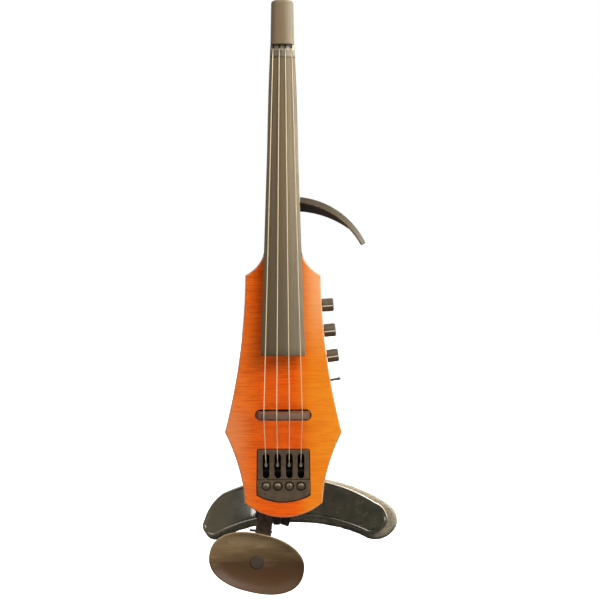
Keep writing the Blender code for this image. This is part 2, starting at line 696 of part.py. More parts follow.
def make_tail_bracket():
    left, right = BRACKET_X
    z_high, z_low = BRACKET_Z
    outline = [
        (left, z_high),
        (right, z_high),
        (right, z_low + 6),
        (right - 6, z_low),
        (TONGUE_X[1] + 1.6, z_low),
        (TONGUE_X[1], z_low - 1.6),
        (TONGUE_X[1], TONGUE_Z + 1.4),
        (TONGUE_X[1] - 1.4, TONGUE_Z),
        (TONGUE_X[0], TONGUE_Z),
        (TONGUE_X[0], BRACKET_LIP_Z),
        (left, BRACKET_LIP_Z),
    ]
    bracket = add("tail_bracket", prism(outline, *BRACKET_Y), BRACKET_METAL)
    turn = about(*BAR_CENTRE, BAR_TILT)
    x, z = BAR_CENTRE
    channel = box((x - BAR_HALF - GAP, x + BAR_HALF + GAP), (-1, BAR_Y[1] + GAP), (z - 30, z + 30))
    cut(bracket, channel, turn)
    cut(bracket, rod((POST[0], -1, POST[1]), (POST[0], 12, POST[1]), POST_RADIUS + GAP, 16))
    stud = [(0, 2.0), (LOCK_Y[1] - 7.0, 2.0)]
    join(bracket, turned((LOCK[0], 8.0, LOCK[1]), (0, 1, 0), stud, 12))
    for i, (sx, sz) in enumerate(BRACKET_SCREWS, 1):
        well = [(0, 2.7), (5.2, 2.7), (5.2, 1.5), (14, 1.5)]
        cut(bracket, turned((sx, 10, sz), (0, -1, 0), well, 12))
        screw(f"bracket_screw_{i}", sx, sz, 7.0, 2.3, 2.0, 1.1, 17, STEEL)


def make_lock_lever():
    """A cranked lever on the bracket's stud; its lower end leans to the G string's side."""
    x, z = LOCK
    blade = [
        (-3.4, 3.2),
        (3.4, 3.2),
        (4.6, -6.0),
        (9.6, -12.4),
        (6.9, -22.5),
        (-1.1, -20.0),
        (0.5, -14.2),
        (-3.8, -6.0),
    ]
    outline = [(x + across, z + up) for across, up in blade]
    origin = (x, LOCK_Y[0], z)
    lever = add("lock_lever", prism(outline, *LOCK_Y), BRACKET_METAL, origin=origin)
    cut(lever, rod((x, LOCK_Y[0] - 2, z), (x, LOCK_Y[1] + 2, z), 2.3, 12))


def make_chin_rest():
    """A ribbed bar that slides in the bracket, an arm pinned behind its end, and the dished plate."""
    x, z = BAR_CENTRE
    turn = about(x, z, BAR_TILT)
    pin_at = turn @ Vector((x, PIN_Y, PIN_Z))
    bore = rod((x - 12, PIN_Y, PIN_Z), (x + 12, PIN_Y, PIN_Z), PIN_RADIUS + 0.2)
    bar = add("chinrest_bar", box((x - BAR_HALF, x + BAR_HALF), BAR_Y, BAR_Z), RIBBED_METAL, turn=turn)
    for side in (-1, 1):
        ear = sorted((x + side * (BAR_HALF - 0.3), x + side * 4.2))
        join(bar, box(ear, (BAR_Y[1] - 1, PIN_Y + 2.4), (PIN_Z - 4, PIN_Z + 4)), turn)
    cut(bar, bore, turn)
    pin = rod((x - BAR_HALF - 5.7, PIN_Y, PIN_Z), (x + BAR_HALF + 0.6, PIN_Y, PIN_Z), PIN_RADIUS)
    add("chinrest_pin", pin, STEEL, origin=pin_at, turn=turn)

    px, pz = PLATE_CENTRE
    outline = [
        (PIN_Y - 2.4, PIN_Z + 1.0),
        (PIN_Y - 2.4, PIN_Z - 9.0),
        (PIN_Y - 5.0, PIN_Z - 11.6),
        (-26.0, -124.5),
        (-30.9, -127.0),
        (-30.9, -141.0),
        (-26.9, -141.0),
        (-26.9, -130.0),
        (PIN_Y - 4.0, PIN_Z - 16.0),
        (PIN_Y + 2.4, PIN_Z - 11.0),
        (PIN_Y + 2.4, PIN_Z + 1.0),
    ]
    blade = side_prism(outline, x - 3.8, x + 3.8)
    arm = add("chinrest_arm", blade, BRACKET_METAL, origin=pin_at, turn=turn)
    join(arm, rod((px, -31.0, pz), (px, -26.8, pz), 9.0, 20))
    bore = rod((x - 12, PIN_Y, PIN_Z), (x + 12, PIN_Y, PIN_Z), PIN_RADIUS + 0.2)
    cut(arm, bore, turn)
    cut(arm, rod((px, -40, pz), (px, -20, pz), 2.3))
    plate_rings = [
        (0.16, PLATE_Y + 0.4),
        (0.5, PLATE_Y - 0.6),
        (0.78, PLATE_Y - 3.0),
        (0.94, PLATE_Y - 5.8),
        (0.98, PLATE_Y - 6.0),
        (1.0, PLATE_Y - 4.6),
        (0.94, PLATE_Y - 1.2),
        (0.75, PLATE_Y + 2.2),
        (0.4, PLATE_Y + 5.0),
    ]
    a, b = PLATE_AXES
    rings = []
    for share, y in plate_rings:
        oval = superellipse(share * a, share * b, PLATE_SQUARENESS, 36)
        rings.append([(px + u, y, pz + w) for u, w in oval])
    centre = (px, PLATE_Y, pz)
    tilt = about(px, pz, PLATE_TILT)
    plate = add("chinrest_plate", ring_solid(rings), CHIN_WOOD, origin=centre, turn=tilt)
    seat = [(0, 6.3), (2.6, 6.3), (2.6, 2.1), (14, 2.1)]
    cut(plate, turned((px, PLATE_Y - 1.4, pz), (0, 1, 0), seat, 20))
    head = [(0, 5.9), (1.3, 5.9), (1.3, 1.9), (12.0, 1.9)]
    add("chinrest_screw", turned((px, PLATE_Y - 0.3, pz), (0, 1, 0), head, 20), PLUG_GREY, origin=centre)


def bowed(mesh, front):
    """Bend the shoulder rest: both ends lean back, the left one further."""
    for vert in mesh.verts:
        reach = vert.co.x - BOW_CENTRE_X
        lean = BOW_LEAN[0] if reach < 0 else BOW_LEAN[1]
        vert.co.y += front + lean * (reach / BOW_REACH) ** 2
    return mesh


def crescent(top, bottom, right, left, front, thickness):
    """A band between two arcs with rounded ends, as a row of cross-sections from end to end."""
    upper = arc(left[0], left[1], top[0], 5)[1:] + arc(*top, 18)[1:]
    upper += arc(top[-1], right[0], right[1], 5)[1:-1]
    lower = arc(left[0], left[2], bottom[0], 5)[1:] + arc(*bottom, 18)[1:]
    lower += arc(bottom[-1], right[2], right[1], 5)[1:-1]
    rings = []
    for (ux, uz), (lx, lz) in zip(upper, lower):
        rings.append([(ux, 0, uz), (lx, 0, lz), (lx, thickness, lz), (ux, thickness, uz)])
    return bowed(ring_solid(rings), front)


def make_shoulder_rest():
    x, z = POST
    post = turned((x, 0.8, z), (0, 1, 0), [(0, POST_RADIUS), (8.2, POST_RADIUS)], 16)
    add("shoulder_post", post, STEEL, origin=(x, 0.8, z))
    yoke = add(
        "shoulder_yoke",
        box((x - 8.0, x + 8.0), (YOKE_Y[0], YOKE_Y[0] + 3.0), (z - 6.5, z + 6.5)),
        BRACKET_METAL,
        origin=(x, YOKE_Y[0], z),
    )
    for side in (-1, 1):
        ear = sorted((x + side * 8.0, x + side * 4.6))
        join(yoke, box(ear, (YOKE_Y[0] + 1, YOKE_Y[1]), (z - 4.5, z + 4.5)))
    join(yoke, rod((x - 7.0, TILT_AXIS_Y, z), (x + 7.0, TILT_AXIS_Y, z), 1.5))
    shell = add(
        "shoulder_rest_shell",
        crescent(SHELL_TOP, SHELL_BOTTOM, SHELL_RIGHT, SHELL_LEFT, SHELL_Y, SHELL_THICKNESS),
        GLOSS_BLACK,
        origin=(x, TILT_AXIS_Y, z),
    )
    join(shell, box((x - 4.2, x + 4.2), (TILT_AXIS_Y - 3.0, SHELL_Y + 2), (z - 4, z + 4)))
    cut(shell, rod((x - 9, TILT_AXIS_Y, z), (x + 9, TILT_AXIS_Y, z), 1.8))
    pad_front = SHELL_Y + SHELL_THICKNESS + PAD_GAP
    add(
        "shoulder_rest_pad",
        crescent(PAD_TOP, PAD_BOTTOM, PAD_RIGHT, PAD_LEFT, pad_front, PAD_THICKNESS),
        FOAM,
        origin=(x, TILT_AXIS_Y, z),
    )


# ---------- the whole violin ----------


for leftover in list(bpy.data.objects):
    bpy.data.objects.remove(leftover)

VIOLIN = bpy.data.objects.new("violin", None)
bpy.context.scene.collection.objects.link(VIOLIN)

MAPLE = material("flamed_maple", (0.66, 0.17, 0.02), 0.3)
NECK_PAINT = material("neck_paint", (0.16, 0.13, 0.1), 0.5)
EBONY = material("ebony", (0.14, 0.11, 0.08), 0.42)
NUT_BONE = material("nut", (0.15, 0.12, 0.09), 0.5)
STRING_STEEL = material("string_steel", (0.8, 0.72, 0.55), 0.25, 1.0)
BRIDGE_WOOD = material("bridge_wood", (0.16, 0.09, 0.07), 0.45)
BRASS = material("pickup_brass", (0.6, 0.45, 0.2), 0.4, 1.0)
TUNER_METAL = material("tuner_metal", (0.12, 0.1, 0.08), 0.38, 0.8)
STEEL = material("steel", (0.35, 0.34, 0.32), 0.35, 1.0)
CHROME = material("chrome", (0.6, 0.6, 0.58), 0.2, 1.0)
KNOB_BLACK = material("knob_black", (0.12, 0.11, 0.09), 0.4)
BOARD_GREEN = material("circuit_board", (0.03, 0.16, 0.07), 0.5)
BATTERY = material("battery", (0.08, 0.08, 0.09), 0.4)
COVER = material("cover_black", (0.05, 0.05, 0.05), 0.5)
ARM_BLACK = material("arm_black", (0.12, 0.1, 0.08), 0.35)
BRACKET_METAL = material("bracket_metal", (0.08, 0.07, 0.07), 0.4, 0.7)
RIBBED_METAL = material("ribbed_metal", (0.06, 0.055, 0.07), 0.45, 0.5)
CHIN_WOOD = material("chin_wood", (0.18, 0.11, 0.06), 0.35)
PLUG_GREY = material("plug_grey", (0.12, 0.1, 0.09), 0.45)
GLOSS_BLACK = material("gloss_black", (0.03, 0.03, 0.025), 0.12)
FOAM = material("foam", (0.2, 0.17, 0.13), 0.9)

make_body()
make_covers()
make_neck()
make_fingerboard()
make_nut()
make_headpiece()
make_strings()
make_bridge()
make_tuner_block()
for number, across in enumerate(TUNER_X, 1):
    make_tuner(number, across)
make_controls()
make_electronics()
make_side_arm()
make_tail_bracket()
make_lock_lever()
make_chin_rest()
make_shoulder_rest()
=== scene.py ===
"""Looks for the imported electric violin: shaped pieces, finishes, a soft pad, light and camera.

Sizes are in millimetres and become metres where a mesh is stored. Z runs along the strings
towards the head, the strings face -Y, and +X is the E string's side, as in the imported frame.
"""

import math

import bmesh
import bpy
from mathutils import Matrix, Vector, noise


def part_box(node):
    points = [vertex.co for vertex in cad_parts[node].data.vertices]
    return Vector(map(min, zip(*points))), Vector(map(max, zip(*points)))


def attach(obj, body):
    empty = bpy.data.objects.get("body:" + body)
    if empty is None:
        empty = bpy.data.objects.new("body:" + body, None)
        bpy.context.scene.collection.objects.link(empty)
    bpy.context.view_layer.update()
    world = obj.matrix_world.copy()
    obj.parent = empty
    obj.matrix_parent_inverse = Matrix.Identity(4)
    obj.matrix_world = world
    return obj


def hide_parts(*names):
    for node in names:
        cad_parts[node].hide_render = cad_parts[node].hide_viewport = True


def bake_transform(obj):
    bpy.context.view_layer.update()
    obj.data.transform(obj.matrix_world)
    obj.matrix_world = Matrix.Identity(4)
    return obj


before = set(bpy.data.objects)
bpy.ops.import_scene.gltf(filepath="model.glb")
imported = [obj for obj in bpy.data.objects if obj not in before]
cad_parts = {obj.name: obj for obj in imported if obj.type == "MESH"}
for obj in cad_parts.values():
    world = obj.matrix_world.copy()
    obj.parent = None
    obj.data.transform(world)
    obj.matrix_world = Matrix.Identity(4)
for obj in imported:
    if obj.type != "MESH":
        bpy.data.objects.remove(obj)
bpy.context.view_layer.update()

MM = 0.001
GAP = 0.3
NODE_EDGE = 0.12


def span(node):
    """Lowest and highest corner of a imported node, in millimetres."""
    low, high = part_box(node)
    return low / MM, high / MM


def middle(node):
    low, high = span(node)
    return (low + high) / 2


# Body: read from the frame where a box says it, else the outline's own points
BODY_LOW, BODY_HIGH = span("body")
FRONT = BODY_LOW.y
TAIL_END = (0.0, BODY_LOW.z)
HEEL_Z = BODY_HIGH.z
HEEL_HALF = 18.3
HIP = (BODY_HIGH.x, -15.9)
SHOULDER = (34.6, 128.8)
TAIL_CORNER = (35.8, -81.0)
SIDE_ARC_CENTRE = (643.6, 137.6)
SIDE_ARC_RADIUS = 609.2
EDGE_ROUND = 1.6
COVER_LOW, COVER_HIGH = span("back_cover")
COVER_SCREWS = [middle(f"cover_screw_{i}") for i in range(1, 5)]
BLOCK_SCREWS = [middle(f"tuner_screw_{i}") for i in range(1, 5)]
BRACKET_SCREWS = [middle(f"bracket_screw_{i}") for i in range(1, 3)]
ARM_SCREWS = [middle(f"side_arm_screw_{i}") for i in range(1, 3)]
JACK = middle("output_jack")

# Strings, neck and fingerboard
STRING_NAMES = ("g", "d", "a", "e")
STRING_RADII = (0.42, 0.4, 0.36, 0.3)
NUT_X = (-8.8, -2.9, 2.9, 8.8)
BRIDGE_X = (-17.5, -5.8, 5.8, 17.5)
BOARD_LOW, BOARD_HIGH = span("fingerboard")
NUT_Z = BOARD_HIGH.z + GAP
BOARD_END_Z = BOARD_LOW.z
BOARD_HALF = (11.4, BOARD_HIGH.x)
BOARD_TOP = (5.2, FRONT - BOARD_LOW.y)
BOARD_UNDERSIDE = (-1.0, 6.8)
CAMBER_RADIUS = 42.0
BRIDGE_CROWN = 24.0
NECK_TOP_Z = span("neck")[1].z
HEAD_LOW, HEAD_HIGH = span("headpiece")
HEAD_STRING_Y = FRONT - 3.4
HEAD_SCREW_Y = -21.5
HEAD_SQUARENESS = 2.7
SILK_Z = 336.6
HEAD_BORE_CLOSING = 0.72

# Bridge and tuners
SLOT_HALF = 25.7
SLOT_RADIUS = 4.85
BLOCK_LOW, BLOCK_HIGH = span("tuner_frame")
BLOCK_HALF = 23.7
BLOCK_CORNER = (24.3, -73.4)
BLOCK_SEAM_Z = BLOCK_LOW.z - 0.15
BLOCK_BOTTOM_Z = span("tuner_end_block")[0].z
SLOT_WIDTH = 6.0
SLOT_Z = (-58.6, -35.4)
TUNER_X = [middle(f"tuner_spindle_{i}").x for i in range(1, 5)]
SPINDLE_Z = middle("tuner_spindle_1").z
AXLE = middle("tuner_axle")
TIP_Y = FRONT - 2.6
TIP_Z = -44.0
STRING_END_Z = -41.5

# Controls
CONTROL_Y = middle("bass_knob").y
CONTROLS = {"volume": 100.9, "bass": 77.2, "treble": 53.5}
TOGGLE_Z = 31.4
KNOB_RADIUS = 6.0
KNOB_LENGTH = 11.2

# Chin rest
BAR_TILT = math.radians(6.0)
BAR_CENTRE = (-17.2, -92.0)
BAR_HALF = 7.6
BAR_Y = (1.0, 4.4)
BAR_Z = (-116.5, -77.0)
PIN_Y = middle("chinrest_pin").y
PIN_Z = -112.3
PIN_RADIUS = 1.2
PLATE_CENTRE = (-24.5, -134.2)
PLATE_TILT = math.radians(13.0)
PLATE_AXES = (44.0, 27.0)
PLATE_POWER = 2.3
PLATE_Y = -36.5

# Shoulder rest
BRACKET_LOW, BRACKET_HIGH = span("tail_bracket")
BRACKET_BACK = 8.6
BRACKET_TOP_Z, BRACKET_BOTTOM_Z, BRACKET_LIP_Z = -79.0, -93.0, -99.0
TONGUE_X = (-10.0, -3.3)
TONGUE_Z = -105.0
POST_LOW, POST_HIGH = span("shoulder_post")
POST = ((POST_LOW.x + POST_HIGH.x) / 2, (POST_LOW.z + POST_HIGH.z) / 2)
YOKE_LOW, YOKE_HIGH = span("shoulder_yoke")
TILT_AXIS_Y = 17.0
SHELL_Y = 24.0
PAD_Y = 28.2
PAD_THICKNESS = 11.0
LOCK = (-2.6, -85.8)
LOCK_Y = (11.2, 14.0)
SHELL_EDGES = {
    "left": ((-77.0, -106.0), (-69.3, -90.0), (-75.2, -118.5)),
    "top": ((-58.0, -78.9), (6.0, -63.6), (87.0, -87.4)),
    "right": ((96.4, -95.4), (98.6, -105.5), (91.0, -115.0)),
    "bottom": ((-66.0, -120.0), (10.0, -100.3), (79.0, -116.2)),
}
PAD_EDGES = {
    "left": ((-78.2, -110.0), (-70.0, -91.5), (-75.6, -122.2)),
    "top": ((-58.0, -80.2), (18.0, -62.4), (99.0, -87.6)),
    "right": ((107.6, -96.6), (110.0, -108.0), (101.0, -120.6)),
    "bottom": ((-66.8, -126.4), (12.0, -108.6), (79.0, -123.0)),
}


# ---------- shared geometry ----------


def between(start, end, share):
    return start + (end - start) * share


def arc(start, via, end, steps):
    """Points from start to end, both included, on the circle through the three."""
    (ax, az), (bx, bz), (cx, cz) = start, via, end
    turn = 2 * (ax * (bz - cz) + bx * (cz - az) + cx * (az - bz))
    squares = [x * x + z * z for x, z in (start, via, end)]
    mx = (squares[0] * (bz - cz) + squares[1] * (cz - az) + squares[2] * (az - bz)) / turn
    mz = (squares[0] * (cx - bx) + squares[1] * (ax - cx) + squares[2] * (bx - ax)) / turn
    radius = math.hypot(ax - mx, az - mz)
    first = math.atan2(az - mz, ax - mx)
    whole = math.tau if turn > 0 else -math.tau
    sweep = (math.atan2(cz - mz, cx - mx) - first) % whole
    angles = [first + sweep * i / steps for i in range(steps + 1)]
    return [(mx + radius * math.cos(a), mz + radius * math.sin(a)) for a in angles]


def softened(points, reach, steps, closed=True):
    """A polyline whose corners are replaced by short curves."""
    result = []
    for i, here in enumerate(points):
        if not closed and i in (0, len(points) - 1):
            result.append(tuple(here))
            continue
        here = Vector(here)
        before = Vector(points[i - 1]) - here
        after = Vector(points[(i + 1) % len(points)]) - here
        start = here + before.normalized() * min(reach, before.length * 0.45)
        end = here + after.normalized() * min(reach, after.length * 0.45)
        for step in range(steps + 1):
            t = step / steps
            result.append(tuple((1 - t) ** 2 * start + 2 * t * (1 - t) * here + t * t * end))
    return result


def inset(outline, distance):
    """A closed outline moved inwards by a distance, mitred at its corners."""
    following = outline[1:] + outline[:1]
    area = sum(x0 * z1 - x1 * z0 for (x0, z0), (x1, z1) in zip(outline, following))
    side = 1 if area > 0 else -1
    moved = []
    for i, here in enumerate(outline):
        here = Vector(here)
        arriving = (here - Vector(outline[i - 1])).normalized()
        leaving = (Vector(following[i]) - here).normalized()
        first = Vector((-arriving.y, arriving.x)) * side
        second = Vector((-leaving.y, leaving.x)) * side
        moved.append(tuple(here + (first + second) / (1 + first.dot(second)) * distance))
    return moved


def rounding(start, end, radius, steps):
    """Depth and inset pairs for a slab between two depths whose rims are rounded."""
    way = 1 if end > start else -1
    angles = [math.pi / 2 * i / steps for i in range(steps + 1)]
    quarter = [(radius * (1 - math.cos(a)), radius * (1 - math.sin(a))) for a in angles]
    near = [(start + way * depth, edge) for depth, edge in quarter]
    far = [(end - way * depth, edge) for depth, edge in reversed(quarter)]
    return near + far


def ring_solid(rings):
    """One closed solid through rings of equally many points, with a face on the first and last."""
    mesh = bmesh.new()
    rows = [[mesh.verts.new(point) for point in ring] for ring in rings]
    for near, far in zip(rows, rows[1:]):
        for i in range(len(near)):
            j = (i + 1) % len(near)
            mesh.faces.new((near[i], near[j], far[j], far[i]))
    mesh.faces.new(rows[0])
    mesh.faces.new(rows[-1])
    bmesh.ops.recalc_face_normals(mesh, faces=mesh.faces)
    return mesh


ALONG = {
    "X": lambda u, v, depth: (depth, u, v),
    "Y": lambda u, v, depth: (u, depth, v),
    "Z": lambda u, v, depth: (u, v, depth),
}


def stacked(outline, levels, axis="Y"):
    """A solid of insets of one outline, each at its own depth along the axis."""
    turn = ALONG[axis]
    return ring_solid([[turn(u, v, d) for u, v in inset(outline, edge)] for d, edge in levels])


def slab(outline, start, end, radius, axis="Y", steps=4):
    return stacked(outline, rounding(start, end, radius, steps), axis)


def pocket(outline, mouth, floor, lip):
    """A cutter whose mouth is flared, so that the pocket it cuts has a chamfered rim."""
    way = 1 if floor > mouth else -1
    return stacked(outline, [(mouth - way, -lip - 1), (mouth + way * lip, 0), (floor, 0)])


def rectangle(u, v):
    return [(u[0], v[0]), (u[1], v[0]), (u[1], v[1]), (u[0], v[1])]


def rounded_rectangle(u, v, radius, steps=6):
    return softened(rectangle(u, v), radius, steps)


def box(x, y, z):
    return stacked(rectangle(x, z), [(y[0], 0), (y[1], 0)])


def soft_box(x, y, z):
    return slab(rounded_rectangle(x, z, 0.75, 3), *y, 0.5, steps=3)


def circle(centre, axis, radius, sides, flutes=0, depth=0.0):
    axis = Vector(axis).normalized()
    helper = Vector((0, 1, 0)) if abs(axis.y) < 0.9 else Vector((1, 0, 0))
    u = axis.cross(helper).normalized()
    v = axis.cross(u)
    ring = []
    for i in range(sides):
        a = math.tau * i / sides
        reach = radius - depth * (0.5 - 0.5 * math.cos(flutes * a))
        ring.append(Vector(centre) + reach * (math.cos(a) * u + math.sin(a) * v))
    return ring


def turned(start, axis, profile, sides, flutes=0):
    """A turned solid from (distance along the axis, radius) pairs; a third value cuts flutes."""
    axis = Vector(axis).normalized()
    start = Vector(start)
    rings = []
    for distance, radius, *depth in profile:
        groove = depth[0] if depth else 0.0
        rings.append(circle(start + axis * distance, axis, radius, sides, flutes, groove))
    return ring_solid(rings)


def rod(start, end, radius, sides=24):
    length = (Vector(end) - Vector(start)).length
    return turned(start, Vector(end) - Vector(start), [(0, radius), (length, radius)], sides)


def pilot_holes(points, start, end):
    """Clearance holes for screws, along Y."""
    return [rod((p.x, start, p.z), (p.x, end, p.z), 1.35, 12) for p in points]


def screw_wells(points, mouth, profile):
    """Countersinks that go in from the back, from (depth, radius) pairs."""
    return [turned((p.x, mouth, p.z), (0, -1, 0), profile, 32) for p in points]


def swept_tube(path, radii, sides):
    """A round bar along a path, with its own radius at each point."""
    path = [Vector(point) for point in path]
    rings = []
    for i, point in enumerate(path):
        before = path[max(i - 1, 0)]
        after = path[min(i + 1, len(path) - 1)]
        rings.append(circle(point, after - before, radii[i], sides))
    return ring_solid(rings)


def about(x, z, angle):
    """A turn about the Y line through (x, z); a positive angle swings the lower end to -X."""
    place = Matrix.Translation((x, 0, z))
    return place @ Matrix.Rotation(angle, 4, "Y") @ place.inverted()


# ---------- objects ----------


def raw_object(name, mesh, turn=None):
    if turn is not None:
        mesh.transform(turn)
    mesh.transform(Matrix.Scale(MM, 4))
    data = bpy.data.meshes.new(name)
    mesh.to_mesh(data)
    mesh.free()
    made = bpy.data.objects.new(name, data)
    bpy.context.scene.collection.objects.link(made)
    return made


def bake(piece):
    """Turn a piece's modifiers into its mesh."""
    graph = bpy.context.evaluated_depsgraph_get()
    final = bpy.data.meshes.new_from_object(piece.evaluated_get(graph))
    spent = piece.data
    piece.modifiers.clear()
    piece.data = final
    bpy.data.meshes.remove(spent)


def combine(piece, meshes, operation, turn):
    helpers = []
    for mesh in meshes:
        helper = raw_object("helper", mesh, turn)
        step = piece.modifiers.new(operation, "BOOLEAN")
        step.operation = operation
        step.solver = "EXACT"
        step.object = helper
        helpers.append(helper)
    bake(piece)
    for helper in helpers:
        bpy.data.objects.remove(helper)


def cut(piece, *meshes, turn=None):
    combine(piece, meshes, "DIFFERENCE", turn)


def join(piece, *meshes, turn=None):
    combine(piece, meshes, "UNION", turn)


def dress(piece, finish, node, body="root", sharp=40):
    """Finish a shaped piece: smooth shading with crisp edges, its material, node and body."""
    data = piece.data
    data.materials.clear()
    data.materials.append(finish.material)
    data.shade_smooth()
    data.set_sharp_from_angle(angle=math.radians(sharp))
    weighted = piece.modifiers.new("even_shading", "WEIGHTED_NORMAL")
    weighted.keep_sharp = True
    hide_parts(node)
    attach(piece, body)


def add_detail(piece, finish, body):
    """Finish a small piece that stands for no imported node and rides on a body."""
    piece.data.materials.append(finish.material)
    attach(piece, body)


def coat_node(node, finish):
    """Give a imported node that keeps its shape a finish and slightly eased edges."""
    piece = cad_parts[node]
    piece.data.materials.clear()
    piece.data.materials.append(finish.material)
    ease = piece.modifiers.new("eased_edges", "BEVEL")
    ease.width = NODE_EDGE * MM
    ease.segments = 2
    ease.limit_method = "ANGLE"
    ease.angle_limit = math.radians(40)
    ease.use_clamp_overlap = True


# ---------- finishes ----------


def tone(red, green, blue):
    """An eight-bit screen colour as linear light."""
    parts = [part / 255 for part in (red, green, blue)]
    return [part / 12.92 if part <= 0.04045 else ((part + 0.055) / 1.055) ** 2.4 for part in parts] + [1.0]


class Nodes:
    """A node tree whose nodes are made and linked by short calls."""

    def __init__(self, tree):
        self.tree = tree

    def feed(self, socket, value):
        """Link or set an input. Three numbers for a colour are eight-bit screen values."""
        if isinstance(value, bpy.types.NodeSocket):
            self.tree.links.new(value, socket)
        elif socket.type == "RGBA" and len(value) == 3:
            socket.default_value = tone(*value)
        else:
            socket.default_value = value

    def node(self, kind, inputs=None, **settings):
        made = self.tree.nodes.new(kind)
        for name, value in settings.items():
            setattr(made, name, value)
        for key, value in (inputs or {}).items():
            self.feed(made.inputs[key], value)
        return made

    def math(self, operation, first, second=0.0):
        return self.node("ShaderNodeMath", {0: first, 1: second}, operation=operation).outputs[0]

    def times(self, first, second):
        return self.math("MULTIPLY", first, second)

    def plus(self, first, second):
        return self.math("ADD", first, second)

    def fitted(self, value, low, high, to_low=0.0, to_high=1.0, smooth=True):
        """The value's place between low and high, held to that range and eased unless told not to."""
        inputs = {"Value": value, "From Min": low, "From Max": high, "To Min": to_low, "To Max": to_high}
        kind = "SMOOTHSTEP" if smooth else "LINEAR"
        return self.node("ShaderNodeMapRange", inputs, interpolation_type=kind).outputs["Result"]


class Finish(Nodes):
    """A material under construction; sizes are in millimetres."""

    def __init__(self, name, slot):
        self.slot = slot
        self.material = bpy.data.materials.new(name)
        self.material.use_nodes = True
        super().__init__(self.material.node_tree)
        self.shader = self.tree.nodes["Principled BSDF"]
        self.place = self.node("ShaderNodeTexCoord").outputs["Object"]

    def surface(self, **inputs):
        for name, value in inputs.items():
            self.feed(self.shader.inputs[name.replace("_", " ")], value)

    def scaled(self, size, shift=None):
        """Coordinates in which one unit is this many millimetres along each axis."""
        scale = [1 / (MM * part) for part in size]
        place = self.node("ShaderNodeMapping", {"Vector": self.place, "Scale": scale}).outputs[0]
        if shift is None:
            return place
        return self.node("ShaderNodeVectorMath", {0: place, 1: shift}, operation="ADD").outputs[0]

    def grain(self, size, detail, roughness=0.5, distortion=0.0, shift=None):
        """Cloudy variation from 0 to 1 whose patches have this size."""
        inputs = {"Vector": self.scaled(size, shift), "Scale": 1.0, "Detail": detail}
        inputs |= {"Roughness": roughness, "Distortion": distortion}
        return self.node("ShaderNodeTexNoise", inputs).outputs["Fac"]

    def cells(self, size):
        inputs = {"Vector": self.scaled(size), "Scale": 1.0}
        return self.node("ShaderNodeTexVoronoi", inputs).outputs["Distance"]

    def along(self, axis):
        """Position along X, Y or Z in millimetres."""
        parts = self.node("ShaderNodeSeparateXYZ", {"Vector": self.scaled((1, 1, 1))})
        return parts.outputs[axis]

    def place_in(self, axis, low, high, smooth=True):
        """The place along an axis between two positions, from 0 to 1."""
        return self.fitted(self.along(axis), low, high, smooth=smooth)

    def facing(self, axis):
        """How far the surface faces along X, Y or Z, from -1 to 1."""
        normal = self.node("ShaderNodeNewGeometry").outputs["Normal"]
        return self.node("ShaderNodeSeparateXYZ", {"Vector": normal}).outputs[axis]

    def swayed(self, value, cloud, amount):
        """A value moved up and down by a cloud, by half the amount each way."""
        return self.plus(value, self.times(self.math("SUBTRACT", cloud, 0.5), amount))

    def across(self, cloud, sway, low, high):
        """The place in X between two positions, from 0 to 1, blurred by a cloud."""
        return self.fitted(self.swayed(self.along("X"), cloud, sway), low, high, smooth=False)

    def squareness(self):
        """How squarely the surface faces the front or the back, from 0 to 1."""
        return self.math("ABSOLUTE", self.facing("Y"))

    def spread(self, cloud, low=0.0, high=1.0):
        """A cloud's usual values, 0.3 to 0.7, spread between two others."""
        return self.fitted(cloud, 0.3, 0.7, low, high)

    def ramp(self, factor, *stops):
        """A colour from (position, red, green, blue) stops, in eight-bit screen values."""
        node = self.node("ShaderNodeValToRGB", {"Fac": factor})
        elements = node.color_ramp.elements
        elements.remove(elements[1])
        elements[0].position, elements[0].color = stops[0][0], tone(*stops[0][1:])
        for position, *colour in stops[1:]:
            elements.new(position).color = tone(*colour)
        return node.outputs["Color"]

    def mix(self, factor, first, second):
        inputs = {0: factor, 6: first, 7: second}
        return self.node("ShaderNodeMix", inputs, data_type="RGBA").outputs[2]

    def tinted(self, colour, mask, amount, other):
        """A colour moved towards another where the mask is high, at most by the amount."""
        return self.mix(self.times(mask, amount), colour, other)

    def relief(self, height, depth):
        """Bump whose full height is this many millimetres."""
        inputs = {"Height": height, "Strength": 1.0, "Distance": depth * MM}
        self.surface(Normal=self.node("ShaderNodeBump", inputs).outputs["Normal"])


